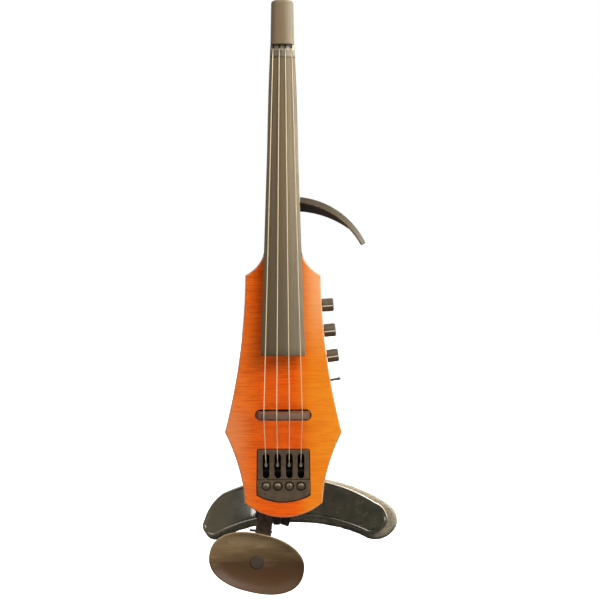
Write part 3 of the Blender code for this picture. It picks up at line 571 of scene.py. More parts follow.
def flamed_maple():
    """Amber gloss over maple: fine straight flames across the grain, a redder middle, and painted light: a
    paler E side that is partly painted sheen, a painted highlight on the upper E side and on the rims, and
    a painted reflection low on the G side.
    """
    look = Finish("flamed_maple_gloss", "flamed_maple")
    wander = look.grain((34, 60, 26), 2.0)
    bend = look.node("ShaderNodeCombineXYZ", {"Z": look.times(wander, 2.2)}).outputs[0]
    ripples = look.grain((13, 60, 0.85), 2.0, 0.5, 0.1, bend)
    bands = look.grain((45, 60, 5.0), 2.0, 0.5, 0.2, bend)
    figure = look.plus(look.times(ripples, 0.75), look.times(bands, 0.25))
    figure = look.fitted(figure, 0.38, 0.6, 0.22, 0.95)
    pores = look.fitted(look.grain((0.35, 1.0, 9.0), 3.0, 0.6), 0.35, 0.75)
    # Redder middle and paler wings across X; the E side's paler amber is partly painted sheen from the
    # light on that side.
    across = look.across(look.grain((20, 30, 40), 3.0), 22, -56, 56)
    bright = look.ramp(
        across,
        (0.0, 196, 112, 48), (0.22, 200, 92, 18), (0.32, 204, 84, 8), (0.6, 204, 84, 6),
        (0.72, 204, 114, 18), (1.0, 206, 126, 30),
    )
    dark = look.ramp(
        across,
        (0.0, 172, 86, 28), (0.28, 170, 62, 8), (0.6, 178, 62, 4), (0.73, 192, 98, 12),
        (1.0, 194, 112, 24),
    )
    colour = look.mix(figure, dark, bright)
    colour = look.tinted(colour, pores, 0.14, (140, 56, 10))
    # Painted highlight: a pale sheen on the upper E side of the body.
    upper = look.times(look.place_in("X", 12, 34), look.place_in("Z", 40, 132))
    colour = look.tinted(colour, upper, 0.62, (216, 162, 118))
    # Painted reflection: a pinkish pale patch low on the G side.
    left = look.times(look.place_in("X", -26, -50), look.place_in("Z", 24, -14))
    colour = look.tinted(colour, left, 0.35, (196, 130, 92))
    # Painted highlight on the rounded rims, which catch the light as a pale line.
    front = look.squareness()
    rim = look.times(look.fitted(front, 0.98, 0.85), look.fitted(front, 0.1, 0.3))
    colour = look.tinted(colour, rim, 0.7, (148, 128, 108))
    look.surface(
        Base_Color=colour,
        Roughness=look.spread(ripples, 0.36, 0.5),
        Specular_IOR_Level=0.06,
        Coat_Weight=0.3,
        Coat_Roughness=0.1,
        Coat_IOR=1.45,
    )
    look.relief(look.grain((3.0, 3.0, 3.0), 3.0, 0.6), 0.012)
    return look


def satin_paint(name, slot, light, dark, roughness, depth=0.02, streak=(0.9, 0.9, 14.0)):
    """Satin paint over wood, also used for the dark painted shade in the body's pockets and for the string
    silk: faint streaks along Z, pale dust in the pores, worn sheen.
    """
    look = Finish(name, slot)
    streaks = look.grain(streak, 4.0, 0.6)
    patches = look.grain((14, 14, 26), 3.0)
    shade = look.plus(look.times(streaks, 0.6), look.times(patches, 0.4))
    look.surface(
        Base_Color=look.mix(look.fitted(shade, 0.35, 0.65), dark, light),
        Roughness=look.spread(patches, roughness - 0.05, roughness + 0.07),
        Specular_IOR_Level=0.5,
    )
    look.relief(streaks, depth)
    return look


def cap_with_painted_light():
    """The neck's satin paint on the cap, with painted light: brown in shade on the G side and painted pale
    on the E side where the light falls.
    """
    look = Finish("cap_paint_painted_light", "neck_paint")
    streaks = look.grain((0.9, 0.9, 14.0), 4.0, 0.6)
    patches = look.grain((14, 14, 26), 3.0)
    # Painted light across the cap: darker on the G side, painted pale towards the E side.
    colour = look.ramp(
        look.across(patches, 6, -11, 11),
        (0.0, 106, 89, 64), (0.3, 103, 86, 61), (0.5, 107, 92, 69), (0.72, 123, 109, 86),
        (1.0, 158, 149, 131),
    )
    look.surface(
        Base_Color=look.tinted(colour, look.fitted(streaks, 0.35, 0.65), 0.14, (84, 70, 50)),
        Roughness=look.spread(patches, 0.44, 0.54),
        Specular_IOR_Level=0.4,
    )
    look.relief(streaks, 0.012)
    return look


def bout_satin():
    """Satin moulding of the side arm, dark at the neck and painted pale grey towards its tip as a sheen."""
    look = Finish("arm_satin", "arm_black")
    pebbles = look.grain((2.4, 2.4, 2.4), 2.0, 0.5)
    clouds = look.grain((11, 11, 11), 3.0)
    front = look.squareness()
    # Painted sheen: the strip turns paler towards its tip.
    colour = look.ramp(
        look.across(clouds, 12, 16, 76),
        (0.0, 78, 68, 56), (0.4, 84, 76, 62), (0.72, 106, 96, 80), (1.0, 134, 128, 116),
    )
    look.surface(
        Base_Color=look.tinted(colour, look.spread(clouds), 0.2, (62, 54, 44)),
        Roughness=look.spread(pebbles, 0.52, 0.64),
        Specular_IOR_Level=look.fitted(front, 0.4, 0.9, 0.0, 0.25),
    )
    look.relief(pebbles, 0.004)
    return look


def ebony_board():
    """Oiled ebony with long fine grain and painted light: dark on the G side, a painted sheen that makes it
    pale on the E side and towards the nut.
    """
    look = Finish("oiled_ebony", "ebony")
    lines = look.grain((0.55, 0.55, 60.0), 4.0, 0.6)
    clouds = look.grain((7, 7, 60), 3.0)
    half = look.fitted(look.along("Z"), BOARD_END_Z, NUT_Z, *reversed(BOARD_HALF), smooth=False)
    across = look.swayed(look.along("X"), clouds, 5)
    share = look.plus(look.times(look.math("DIVIDE", across, half), 0.5), 0.5)
    # Painted light across the board: shaded dark on the G side and pale with a painted sheen on the E side,
    # in a lower copy and a paler upper copy.
    painted_light_lower = look.ramp(
        share,
        (0.0, 78, 67, 47), (0.3, 78, 67, 47), (0.5, 86, 75, 58), (0.72, 98, 88, 70),
        (1.0, 112, 102, 84),
    )
    upper = look.ramp(
        share,
        (0.0, 80, 69, 50), (0.3, 82, 69, 51), (0.5, 96, 82, 61), (0.72, 124, 111, 88),
        (1.0, 142, 130, 110),
    )
    # The upper board is painted paler, as a sheen where the light grazes it.
    colour = look.mix(look.place_in("Z", 70, 250), painted_light_lower, upper)
    colour = look.tinted(colour, look.fitted(lines, 0.35, 0.7), 0.26, (58, 48, 36))
    end = look.place_in("Z", BOARD_END_Z + 9, BOARD_END_Z)
    look.surface(
        Base_Color=look.tinted(colour, end, 0.45, (40, 34, 26)),
        Roughness=look.spread(lines, 0.36, 0.48),
        Specular_IOR_Level=0.35,
    )
    look.relief(lines, 0.03)
    return look


def nut_composite():
    """A cast nut: fine speckle and painted light: darker on the G side, painted pale on the E side where
    the light falls, and painted pale at its top to lift the shade under the cap.
    """
    look = Finish("nut_composite", "nut")
    speckle = look.grain((0.5, 0.5, 0.5), 4.0, 0.7)
    share = look.across(speckle, 4, -10, 10)
    # Painted light: the G side shaded dark, the E side painted pale.
    colour = look.ramp(
        share,
        (0.0, 62, 56, 43), (0.4, 74, 68, 53), (0.62, 110, 103, 85), (1.0, 164, 156, 138),
    )
    # Painted light at the nut's top, where the cap's shadow falls.
    painted_light_top = look.ramp(
        share,
        (0.0, 110, 99, 80), (0.45, 158, 147, 127), (1.0, 214, 204, 186),
    )
    look.surface(
        Base_Color=look.mix(look.place_in("Z", 334.6, 336.2), colour, painted_light_top),
        Roughness=look.spread(speckle, 0.4, 0.52),
    )
    look.relief(speckle, 0.01)
    return look


def metal(name, slot, light, dark, roughness, metallic=1.0, brushed=(8.0, 8.0, 0.25), depth=0.004):
    """Machined metal: fine brushing in one direction and cloudy handling marks."""
    look = Finish(name, slot)
    brush = look.grain(brushed, 4.0, 0.7)
    clouds = look.grain((4, 4, 4), 3.0)
    look.surface(
        Base_Color=look.mix(look.spread(clouds), dark, light),
        Metallic=metallic,
        Roughness=look.spread(brush, roughness - 0.07, roughness + 0.09),
    )
    look.relief(brush, depth)
    return look


def moulded(name, slot, light, dark, roughness, size, depth):
    """Moulded plastic: a fine pebbled skin and faint cloudiness."""
    look = Finish(name, slot)
    pebbles = look.grain((size, size, size), 3.0, 0.6)
    clouds = look.grain((11, 11, 11), 3.0)
    look.surface(
        Base_Color=look.mix(look.spread(clouds), dark, light),
        Roughness=look.spread(pebbles, roughness - 0.05, roughness + 0.06),
    )
    look.relief(pebbles, depth)
    return look


def string_winding():
    look = Finish("wound_string", "string_steel")
    turns = look.node(
        "ShaderNodeTexWave",
        {"Vector": look.scaled((1, 1, 1)), "Scale": 1.2, "Distortion": 0.0},
        bands_direction="Z",
    ).outputs["Fac"]
    look.surface(
        Base_Color=look.mix(turns, (224, 204, 164), (244, 228, 194)), Metallic=0.35, Roughness=0.34
    )
    look.relief(turns, 0.006)
    return look


def bridge_wood():
    look = Finish("stained_bridge", "bridge_wood")
    fibres = look.grain((7.0, 0.7, 0.7), 4.0, 0.6)
    flecks = look.fitted(look.cells((1.6, 0.7, 0.7)), 0.1, 0.5)
    colour = look.mix(look.spread(fibres), (62, 42, 32), (87, 63, 48))
    look.surface(Base_Color=look.tinted(colour, flecks, 0.2, (124, 98, 82)), Roughness=0.45)
    look.relief(fibres, 0.03)
    return look


def circuit_board():
    look = Finish("solder_mask", "circuit_board")
    tracks = look.node(
        "ShaderNodeTexBrick",
        {"Vector": look.scaled((3, 3, 3)), "Scale": 1.0, "Mortar Size": 0.06},
    ).outputs["Fac"]
    mottle = look.grain((2, 2, 2), 3.0)
    colour = look.mix(look.spread(mottle), (16, 74, 44), (28, 98, 58))
    look.surface(Base_Color=look.mix(tracks, colour, (74, 132, 70)), Roughness=0.35)
    look.relief(tracks, 0.05)
    return look


def chin_wood():
    """Polished dark wood: rings of figure, redder below and painted khaki towards the top as a reflection
    of the warm surroundings.
    """
    look = Finish("chin_rest_wood", "chin_wood")
    figure = look.grain((34, 20, 7.0), 4.0, 0.55, 0.6)
    fine = look.grain((9.0, 2.0, 0.5), 4.0, 0.6)
    # Painted reflection: the plate turns khaki towards its top.
    height = look.place_in("Z", PLATE_CENTRE[1] - 24, PLATE_CENTRE[1] + 22, smooth=False)
    height = look.swayed(height, figure, 0.6)
    colour = look.ramp(
        height,
        (0.0, 79, 50, 20), (0.22, 78, 49, 21), (0.46, 73, 50, 26), (0.7, 111, 90, 61),
        (1.0, 148, 126, 92),
    )
    look.surface(
        Base_Color=look.tinted(colour, look.fitted(fine, 0.35, 0.7), 0.3, (60, 42, 30)),
        Roughness=look.spread(figure, 0.46, 0.56),
        Specular_IOR_Level=0.3,
        Coat_Weight=0.08,
        Coat_Roughness=0.3,
    )
    look.relief(fine, 0.015)
    return look


def gloss_shell():
    look = Finish("gloss_shell", "gloss_black")
    mottle = look.grain((9, 9, 7), 4.0, 0.65)
    swirls = look.grain((1.2, 1.2, 1.2), 4.0, 0.7)
    colour = look.mix(look.spread(mottle), (26, 25, 17), (48, 45, 31))
    # Painted reflection: paler towards the left end, where the shell bends back.
    colour = look.tinted(colour, look.place_in("X", -34, -60), 0.95, (88, 83, 66))
    # Painted highlight on the rims that face up and towards the E side, where the light catches them.
    front = look.squareness()
    lean = look.plus(look.times(look.facing("X"), 0.5), look.facing("Z"))
    rim = look.times(look.fitted(front, 0.97, 0.8), look.fitted(front, 0.05, 0.3))
    rim = look.times(rim, look.fitted(lean, 0.1, 0.5, 0.0, 0.85))
    look.surface(
        Base_Color=look.mix(rim, colour, (176, 168, 150)),
        Roughness=look.spread(mottle, 0.2, 0.28),
        Coat_Weight=0.9,
        Coat_Roughness=look.spread(swirls, 0.03, 0.07),
    )
    look.relief(look.grain((16, 16, 16), 2.0), 0.03)
    return look


def felted_foam():
    """Dense foam under a felted skin: pale and dark fibres, a dull nap, small pits and painted shade where
    it faces down.
    """
    look = Finish("felted_foam", "foam")
    fibres = look.grain((0.9, 0.9, 0.9), 5.0, 0.7)
    pits = look.fitted(look.cells((0.8, 0.8, 0.8)), 0.05, 0.6)
    clouds = look.grain((12, 12, 12), 3.0)
    colour = look.mix(look.fitted(fibres, 0.35, 0.65), (96, 88, 73), (180, 171, 150))
    colour = look.tinted(colour, look.spread(clouds), 0.35, (104, 97, 82))
    look.surface(
        # Painted shade on the faces that turn downwards, under the shell.
        Base_Color=look.tinted(colour, look.fitted(look.facing("Z"), 0.0, -0.6), 0.9, (27, 24, 18)),
        Roughness=0.95,
        Specular_IOR_Level=0.15,
        Sheen_Weight=0.35,
        Sheen_Roughness=0.5,
    )
    look.relief(look.plus(look.times(pits, 0.6), fibres), 0.28)
    return look


MAPLE = flamed_maple()
# Painted shade: near black for the walls of the pockets and the bridge slot, where shade falls.
POCKET_SHADE = satin_paint("painted_pocket_shade", "flamed_maple", (30, 20, 14), (18, 12, 9), 0.7)
NECK = satin_paint("satin_neck_paint", "neck_paint", (126, 110, 86), (104, 90, 68), 0.46, 0.012)
CAP = cap_with_painted_light()
EBONY = ebony_board()
NUT = nut_composite()
STRING = string_winding()
# Dark silk at the strings' ball ends; where it shows below the cap, its dark tone also stands in for the
# shade in the bores' mouths.
SILK = satin_paint("string_silk", "string_steel", (44, 36, 28), (26, 20, 16), 0.7, 0.03, (0.3, 0.3, 0.4))
BRIDGE = bridge_wood()
BRASS = metal("pickup_foil", "pickup_brass", (206, 170, 92), (160, 124, 60), 0.35)
TUNER = metal("anodised_tuner", "tuner_metal", (100, 84, 67), (83, 70, 55), 0.45, 0.35, (3, 3, 3), 0.01)
DOME = metal("satin_spindle", "tuner_metal", (110, 99, 81), (88, 79, 63), 0.34, 0.6)
CRANK = metal("blackened_crank", "tuner_metal", (40, 36, 32), (26, 24, 21), 0.5, 0.5)
TIP = metal("bright_tip", "tuner_metal", (196, 192, 182), (150, 146, 136), 0.28, 0.85)
STEEL = metal("blackened_steel", "steel", (150, 148, 144), (112, 110, 106), 0.3)
CHROME = metal("satin_chrome", "chrome", (126, 128, 122), (90, 92, 88), 0.32)
KNOB = moulded("knob_shell", "knob_black", (86, 79, 65), (62, 57, 46), 0.42, 0.35, 0.02)
POINTER = moulded("pointer_paint", "knob_black", (236, 232, 218), (214, 208, 190), 0.5, 0.2, 0.005)
BOARD_GREEN = circuit_board()
BATTERY = moulded("battery_wrap", "battery", (60, 60, 64), (40, 40, 44), 0.35, 1.2, 0.01)
COVER = moulded("cover_skin", "cover_black", (52, 50, 48), (36, 35, 34), 0.5, 0.45, 0.06)
ARM = bout_satin()
RIB = moulded("arm_plate_skin", "arm_black", (60, 50, 38), (46, 38, 28), 0.6, 0.6, 0.01)
BRACKET = metal("bracket_anodised", "bracket_metal", (66, 62, 62), (46, 44, 44), 0.4, 0.6)
RIBBED = metal("ribbed_bar", "ribbed_metal", (114, 99, 90), (88, 75, 68), 0.45, 0.3, (0.3, 0.3, 8.0))
CHIN = chin_wood()
PLUG = moulded("grey_plug", "plug_grey", (68, 56, 46), (56, 46, 38), 0.45, 0.6, 0.01)
SHELL = gloss_shell()
FOAM = felted_foam()


# ---------- body and back ----------


def side_half_width(z):
    """Half width of the body between its shoulder and its widest point."""
    cx, cz = SIDE_ARC_CENTRE
    return cx - math.sqrt(SIDE_ARC_RADIUS**2 - (z - cz) ** 2)


def side_normal(z):
    """Outward direction of the E side at this height."""
    cx, cz = SIDE_ARC_CENTRE
    return Vector((cx - side_half_width(z), 0, cz - z)).normalized()


def control_point(z, distance):
    """A point on a control's axis, this far outside the body's side."""
    surface = Vector((side_half_width(z), CONTROL_Y, z))
    return surface + side_normal(z) * distance


def body_outline():
    flare = arc((HEEL_HALF, HEEL_Z), (25.2, 135.5), SHOULDER, 24)
    side = arc(SHOULDER, (side_half_width(60), 60), HIP, 48)
    waist = arc(HIP, (43.3, -41.8), (37.2, -66.0), 24)
    tail = arc(TAIL_CORNER, (20.5, -90.5), TAIL_END, 24)
    right = flare + side[1:] + waist[1:] + tail
    return right + [(-x, z) for x, z in reversed(right[:-1])]


def cover_outline(grow):
    low, high = COVER_LOW.z - grow, COVER_HIGH.z + grow
    heights = [between(low, high, i / 32) for i in range(33)]
    right = [(side_half_width(z) - 4 + grow, z) for z in heights]
    return softened(right + [(-x, z) for x, z in reversed(right)], 0.8, 2)


def bridge_slot():
    """The slot's outline about the origin, its long side along X."""
    centre = SLOT_HALF - SLOT_RADIUS
    right = arc((centre, -SLOT_RADIUS), (SLOT_HALF, 0), (centre, SLOT_RADIUS), 24)
    return right + [(-x, -z) for x, z in right]


def tuner_outline(grow):
    x, z = BLOCK_CORNER
    low = (x + grow, z - grow)
    bottom = arc(low, (0, BLOCK_BOTTOM_Z - grow), (-low[0], low[1]), 40)
    top = BLOCK_HIGH.z + grow
    half = BLOCK_HALF + grow
    corners = [bottom[-1], (-half, top), (half, top), bottom[0]]
    upper = softened([bottom[-2], *corners, bottom[1]], 2.2, 5, closed=False)[1:-1]
    return upper + bottom[2:-2]


def make_body():
    """The flamed body: its outline, the slot, pockets and holes, with painted shade on the pockets' walls.
    """
    outline = body_outline()
    rings = []
    for y, edge in rounding(FRONT, 0, EDGE_ROUND, 6):
        ring = inset(outline, edge)
        ring[0] = (ring[0][0], HEEL_Z)
        ring[-1] = (ring[-1][0], HEEL_Z)
        rings.append([(x, y, z) for x, z in ring])
    body = raw_object("maple_body", ring_solid(rings))
    cavity = [(side_half_width(z) - 7.5, z) for z in (16, 32, 48, 64, 80, 96, 112)]
    cavity += [(-x, z) for x, z in reversed(cavity)]
    cut(
        body,
        box((-12, 12), (FRONT - 1, -14), (118, HEEL_Z + 1)),
        pocket(bridge_slot(), FRONT, FRONT + 3, 0.35),
        box((-20.3, 20.3), (FRONT + 2, FRONT + 5), (-1.7, 1.7)),
        pocket(tuner_outline(0.4), FRONT, BLOCK_HIGH.y + GAP, 0.35),
        slab(rounded_rectangle((-21.5, 21.5), (-73, -38.5), 3), -18, -5, 0.5),
        pocket(rounded_rectangle((-21.5, 21.5), (-73, -58.5), 3), 0, -8, 0.5),
        pocket(cover_outline(GAP), 0, -2.7, 0.3),
        stacked(cavity, [(-22, 0), (-1, 0)]),
    )
    holes = pilot_holes(COVER_SCREWS + BRACKET_SCREWS, -12, 1)
    holes += screw_wells(BLOCK_SCREWS, 1, [(0, 3.2), (1.4, 2.7), (3.9, 2.7), (3.9, 1.5), (18, 1.5)])
    for z in [*CONTROLS.values(), TOGGLE_Z]:
        holes.append(rod(control_point(z, -11.5), control_point(z, 3), 3.4, 24))
    well = [(0, 8.4), (1.5, 7.6), (3.9, 7.6), (3.9, 5.9), (25, 5.9)]
    holes.append(turned((JACK.x, 1, JACK.z), (0, -1, 0), well, 48))
    cut(body, *holes)
    dress(body, MAPLE, "body")
    body.data.materials.append(POCKET_SHADE.material)
    # Painted shade: faces inside the slot and the tuner pocket take the dark second material.
    pocket_low, pocket_high, skin = -82, 6, 0.1
    for face in body.data.polygons:
        x, y, z = face.center / MM
        inside = abs(x) < BLOCK_HALF + 3.5 and pocket_low < z < pocket_high
        if inside and FRONT + skin < y < -skin:
            face.material_index = 1


def recessed_screw(node, head=2.3):
    """A countersunk cross-head screw in the place of a packed one."""
    low, high = span(node)
    x, z = (low.x + high.x) / 2, (low.z + high.z) / 2
    length = high.y - low.y
    flat = head - 0.25
    profile = [(0, flat), (0.12, head - 0.08), (0.3, head), (0.42, head), (1.6, 1.15), (length, 1.0)]
    screw = raw_object(f"{node}_turned", turned((x, high.y, z), (0, -1, 0), profile, 32))
    cross = []
    for angle in (math.radians(20), math.radians(110)):
        blade = stacked(rectangle((-1.25, 1.25), (-0.27, 0.27)), [(high.y + 1, 0), (high.y - 0.9, 0)])
        blade.transform(Matrix.Translation((x, 0, z)) @ Matrix.Rotation(angle, 4, "Y"))
        cross.append(blade)
    cut(screw, *cross)
    dress(screw, STEEL, node)


def make_cover():
    cover = raw_object("back_plate", slab(cover_outline(0), COVER_HIGH.y, COVER_LOW.y, 0.5, steps=3))
    cut(cover, *screw_wells(COVER_SCREWS, 1, [(0, 3.9), (1.2, 2.7), (2.0, 2.6), (2.0, 1.5), (5, 1.5)]))
    dress(cover, COVER, "back_cover")


# ---------- neck, fingerboard, nut, head and strings ----------


def along_board(z):
    """0 at the nut, 1 at the fingerboard's free end."""
    return (NUT_Z - z) / (NUT_Z - BOARD_END_Z)


def board_underside(z):
    return FRONT - between(*BOARD_UNDERSIDE, along_board(z))


NECK_SECTIONS = (
    (NECK_TOP_Z, 11.2, -14.8, 2.2), (300.0, 12.9, -15.2, 2.1), (262.0, 13.9, -15.8, 2.1),
    (222.0, 14.7, -16.3, 2.2), (208.0, 15.0, -13.6, 2.4), (197.0, 15.3, -8.4, 2.8),
    (186.0, 15.5, -3.6, 3.2), (172.0, 16.0, -1.4, 3.8), (158.0, 16.3, -0.8, 4.2),
    (152.7, 16.7, -0.8, 4.4), (HEEL_Z + GAP, 18.2, -0.8, 5.0),
)


def neck_values(z):
    """Half width, depth and squareness between the listed sections, on smooth slopes."""
    for above, below in zip(NECK_SECTIONS, NECK_SECTIONS[1:]):
        if below[0] <= z <= above[0]:
            share = (above[0] - z) / (above[0] - below[0])
            eased = share
            if abs(above[2] - below[2]) > 4:
                eased = share * 0.8 + 0.2 * share * share * (3 - 2 * share)
            return [between(above[k], below[k], eased) for k in (1, 2, 3)]
    return list(NECK_SECTIONS[-1][1:])


def neck_section(z, half, back, squareness):
    """A neck section: flat on top, with a rounded back that is squarer at the heel."""
    top = board_underside(z) + GAP
    edge = top + 2.5
    steps = 40
    ring = [(half - 0.4, top, z), (half, top + 0.4, z)]
    for i in range(steps + 1):
        a = math.pi * i / steps
        x = half * math.copysign(abs(math.cos(a)) ** (2 / squareness), math.cos(a))
        y = edge + (back - edge) * math.sin(a) ** (2 / squareness)
        ring.append((x, y, z))
    return ring + [(-half, top + 0.4, z), (-half + 0.4, top, z)]


def make_neck():
    rows = 64
    heights = [between(NECK_TOP_Z, HEEL_Z + GAP, i / rows) for i in range(rows + 1)]
    rings = [neck_section(z, *neck_values(z)) for z in heights]
    neck = raw_object("shaped_neck", ring_solid(rings))
    riser = [(board_underside(z) + 2 * GAP, z) for z in (HEEL_Z + 4, 100.0)]
    tenon = riser + [(FRONT - GAP, 100), (FRONT - GAP, 118.3), (-14.3, 118.3), (-14.3, HEEL_Z + 4)]
    join(neck, stacked(tenon, [(-11.7, 0), (11.7, 0)], "X"))
    head_hole = rod((0, HEAD_SCREW_Y, 312), (0, HEAD_SCREW_Y, 345), 1.5, 20)
    cut(neck, *pilot_holes(ARM_SCREWS, -10, 3), head_hole)
    dress(neck, NECK, "neck", sharp=50)


def board_section(z, shrink):
    share = along_board(z)
    half = between(*BOARD_HALF, share) - shrink
    crown = FRONT - between(*BOARD_TOP, share) + shrink
    under = board_underside(z) - shrink * 0.5
    top = []
    for i in range(33):
        x = between(-half + 0.5, half - 0.5, i / 32)
        top.append((x, crown + x * x / (2 * CAMBER_RADIUS)))
    edge = top[-1][1]
    right = [(half - 0.15, edge + 0.25), (half, edge + 0.8), (half, under - 0.4), (half - 0.3, under)]
    return [(x, y, z) for x, y in top + right + [(-x, y) for x, y in reversed(right)]]


def make_fingerboard():
    ends = [(NUT_Z - GAP, 0.25), (NUT_Z - GAP - 0.25, 0.05), (NUT_Z - GAP - 0.6, 0.0)]
    ends += [(between(NUT_Z - 4, BOARD_END_Z + 4, i / 24), 0.0) for i in range(25)]
    ends += [(BOARD_END_Z + 0.9, 0.0), (BOARD_END_Z + 0.35, 0.12), (BOARD_END_Z, 0.6)]
    board = raw_object("ebony_fingerboard", ring_solid([board_section(*end) for end in ends]))
    dress(board, EBONY, "fingerboard", sharp=60)


def string_front(x, z):
    """Y of a string's centre over the speaking length."""
    nut_x = NUT_X[BRIDGE_X.index(x)]
    nut = FRONT - BOARD_TOP[0] - 0.95 + nut_x**2 / (2 * CAMBER_RADIUS)
    bridge = FRONT - BRIDGE_CROWN + x * x / (2 * CAMBER_RADIUS)
    return between(nut, bridge, (NUT_Z - z) / NUT_Z)


def head_bore_x(x, z):
    """The strings' bores close in slightly towards the head's tip."""
    return x * between(1.0, HEAD_BORE_CLOSING, (z - NUT_Z) / (HEAD_HIGH.z - NUT_Z))


def make_nut():
    low = board_underside(NUT_Z) - GAP
    profile = [
        (low, NUT_Z), (FRONT - 5.0, NUT_Z), (FRONT - 5.2, NUT_Z + 1.6), (FRONT - 2.2, 337.5),
        (FRONT - 2.2, NECK_TOP_Z), (low, NECK_TOP_Z),
    ]
    nut = raw_object("nut_ramp", slab(softened(profile, 0.5, 3), -11.1, 11.1, 0.6, "X"))
    grooves = []
    for nut_x, bridge_x in zip(NUT_X, BRIDGE_X):
        y = string_front(bridge_x, NUT_Z)
        grooves.append(rod((nut_x, y - 0.1, NUT_Z - 2), (nut_x, y - 0.1, NUT_Z + 3), 0.72, 20))
        grooves.append(rod((nut_x, y + 0.3, NUT_Z + 1.2), (nut_x * 0.985, HEAD_STRING_Y, 341.5), 0.85, 20))
    cut(nut, *grooves)
    dress(nut, NUT, "nut")


def head_ring(z, half, shrink):
    front, back = HEAD_LOW.y, HEAD_HIGH.y
    mid, depth = (front + back) / 2, (back - front) / 2 - shrink
    return [(half * u, mid + depth * v, z) for u, v in squared_circle(HEAD_SQUARENESS, 96)]


def make_head():
    """The cap over the strings' ball ends, with its bores, a screw well and a rounded flat top."""
    low, high = HEAD_LOW.z, HEAD_HIGH.z
    corner = 2.8
    stations = [(low, 10.7, 0.3), (low + 0.25, 10.93, 0.07), (low + 0.6, 11.0, 0.0)]
    straight = high - corner
    for i in range(1, 9):
        stations.append((between(low + 0.6, straight, i / 8), between(11.0, 10.3, i / 8), 0.0))
    for i in range(1, 13):
        a = math.pi / 2 * i / 12
        reach = 1 - math.cos(a)
        stations.append((straight + corner * math.sin(a), 10.3 - 2.4 * reach, 2.4 * reach))
    head = raw_object("headpiece_cap", ring_solid([head_ring(*station) for station in stations]))
    bores = []
    for x in NUT_X:
        low_end, mid, high_end = ((head_bore_x(x, z), HEAD_STRING_Y, z) for z in (low - 2, 357.0, high + 3))
        bores.append(rod(low_end, mid, 1.0, 20))
        bores.append(rod((head_bore_x(x, 355.5), HEAD_STRING_Y, 355.5), high_end, 1.75, 24))
    well = [(0, 3.8), (2.1, 3.8), (2.5, 3.4), (9, 3.4), (9, 1.9), (52, 1.9)]
    bores.append(turned((0, HEAD_SCREW_Y, high + 2.1), (0, 0, -1), well, 32))
    cut(head, *bores)
    dress(head, CAP, "headpiece")


def make_head_screw():
    """A cap screw with a hexagonal socket, down the head's well."""
    top = span("headpiece_screw")[1].z
    profile = [(0, 2.3), (0.25, 2.6), (0.5, 2.7), (2.7, 2.7), (2.7, 1.2), (64, 1.2), (65, 0.8)]
    bolt = raw_object("cap_bolt", turned((0, HEAD_SCREW_Y, top), (0, 0, -1), profile, 48))
    cut(bolt, rod((0, HEAD_SCREW_Y, top - 1.6), (0, HEAD_SCREW_Y, top + 3), 1.5, 6))
    dress(bolt, STEEL, "headpiece_screw")


def make_strings():
    """Each string from its ball end in the head, over nut and bridge, to its clamp."""
    for number, name in enumerate(STRING_NAMES):
        radius, nut_x, bridge_x = STRING_RADII[number], NUT_X[number], BRIDGE_X[number]
        ball_end = (358.8, 358.5, 358.0, 356.7, 356.4, 356.2)
        path = [(head_bore_x(nut_x, z), HEAD_STRING_Y, z) for z in ball_end]
        radii = [0.5, 1.0, 1.35, 1.35, 1.0, 0.7]
        path.append((head_bore_x(nut_x, 340), HEAD_STRING_Y + 0.1, 339.4))
        ramp = Vector((nut_x, string_front(bridge_x, NUT_Z) + 0.15, NUT_Z + 1.2))
        silk = Vector(path[-1]).lerp(ramp, (339.4 - SILK_Z) / (339.4 - ramp.z))
        path += [silk + Vector((0, 0, 0.3)), silk, ramp]
        radii += [0.7, 0.7, radius]
        path.append((nut_x, string_front(bridge_x, NUT_Z), NUT_Z + 0.3))
        for i in range(1, 24):
            z = between(NUT_Z, 0, i / 24)
            x = between(nut_x, bridge_x, i / 24)
            path.append((x, string_front(bridge_x, z), z))
        path.append((bridge_x, string_front(bridge_x, 0), 0.3))
        tip = Vector((TUNER_X[number], TIP_Y - 1.2, STRING_END_Z - 1.5))
        top = Vector((bridge_x, string_front(bridge_x, 0) + 0.02, -0.4))
        path += [top.lerp(tip, i / 10) for i in range(11)]
        radii += [radius] * (len(path) - len(radii))
        string = raw_object(f"wound_string_{name}", swept_tube(path, radii, 16))
        data = string.data
        data.materials.append(STRING.material)
        data.materials.append(SILK.material)
        data.shade_smooth()
        for face in data.polygons:
            # The silk section, dark where the strings enter the cap, also paints the shade in the bores'
            # mouths.
            face.material_index = int(SILK_Z < face.center.z / MM < 356.5)
        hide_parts(f"string_{name}")
        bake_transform(string)


# ---------- bridge and tuners ----------


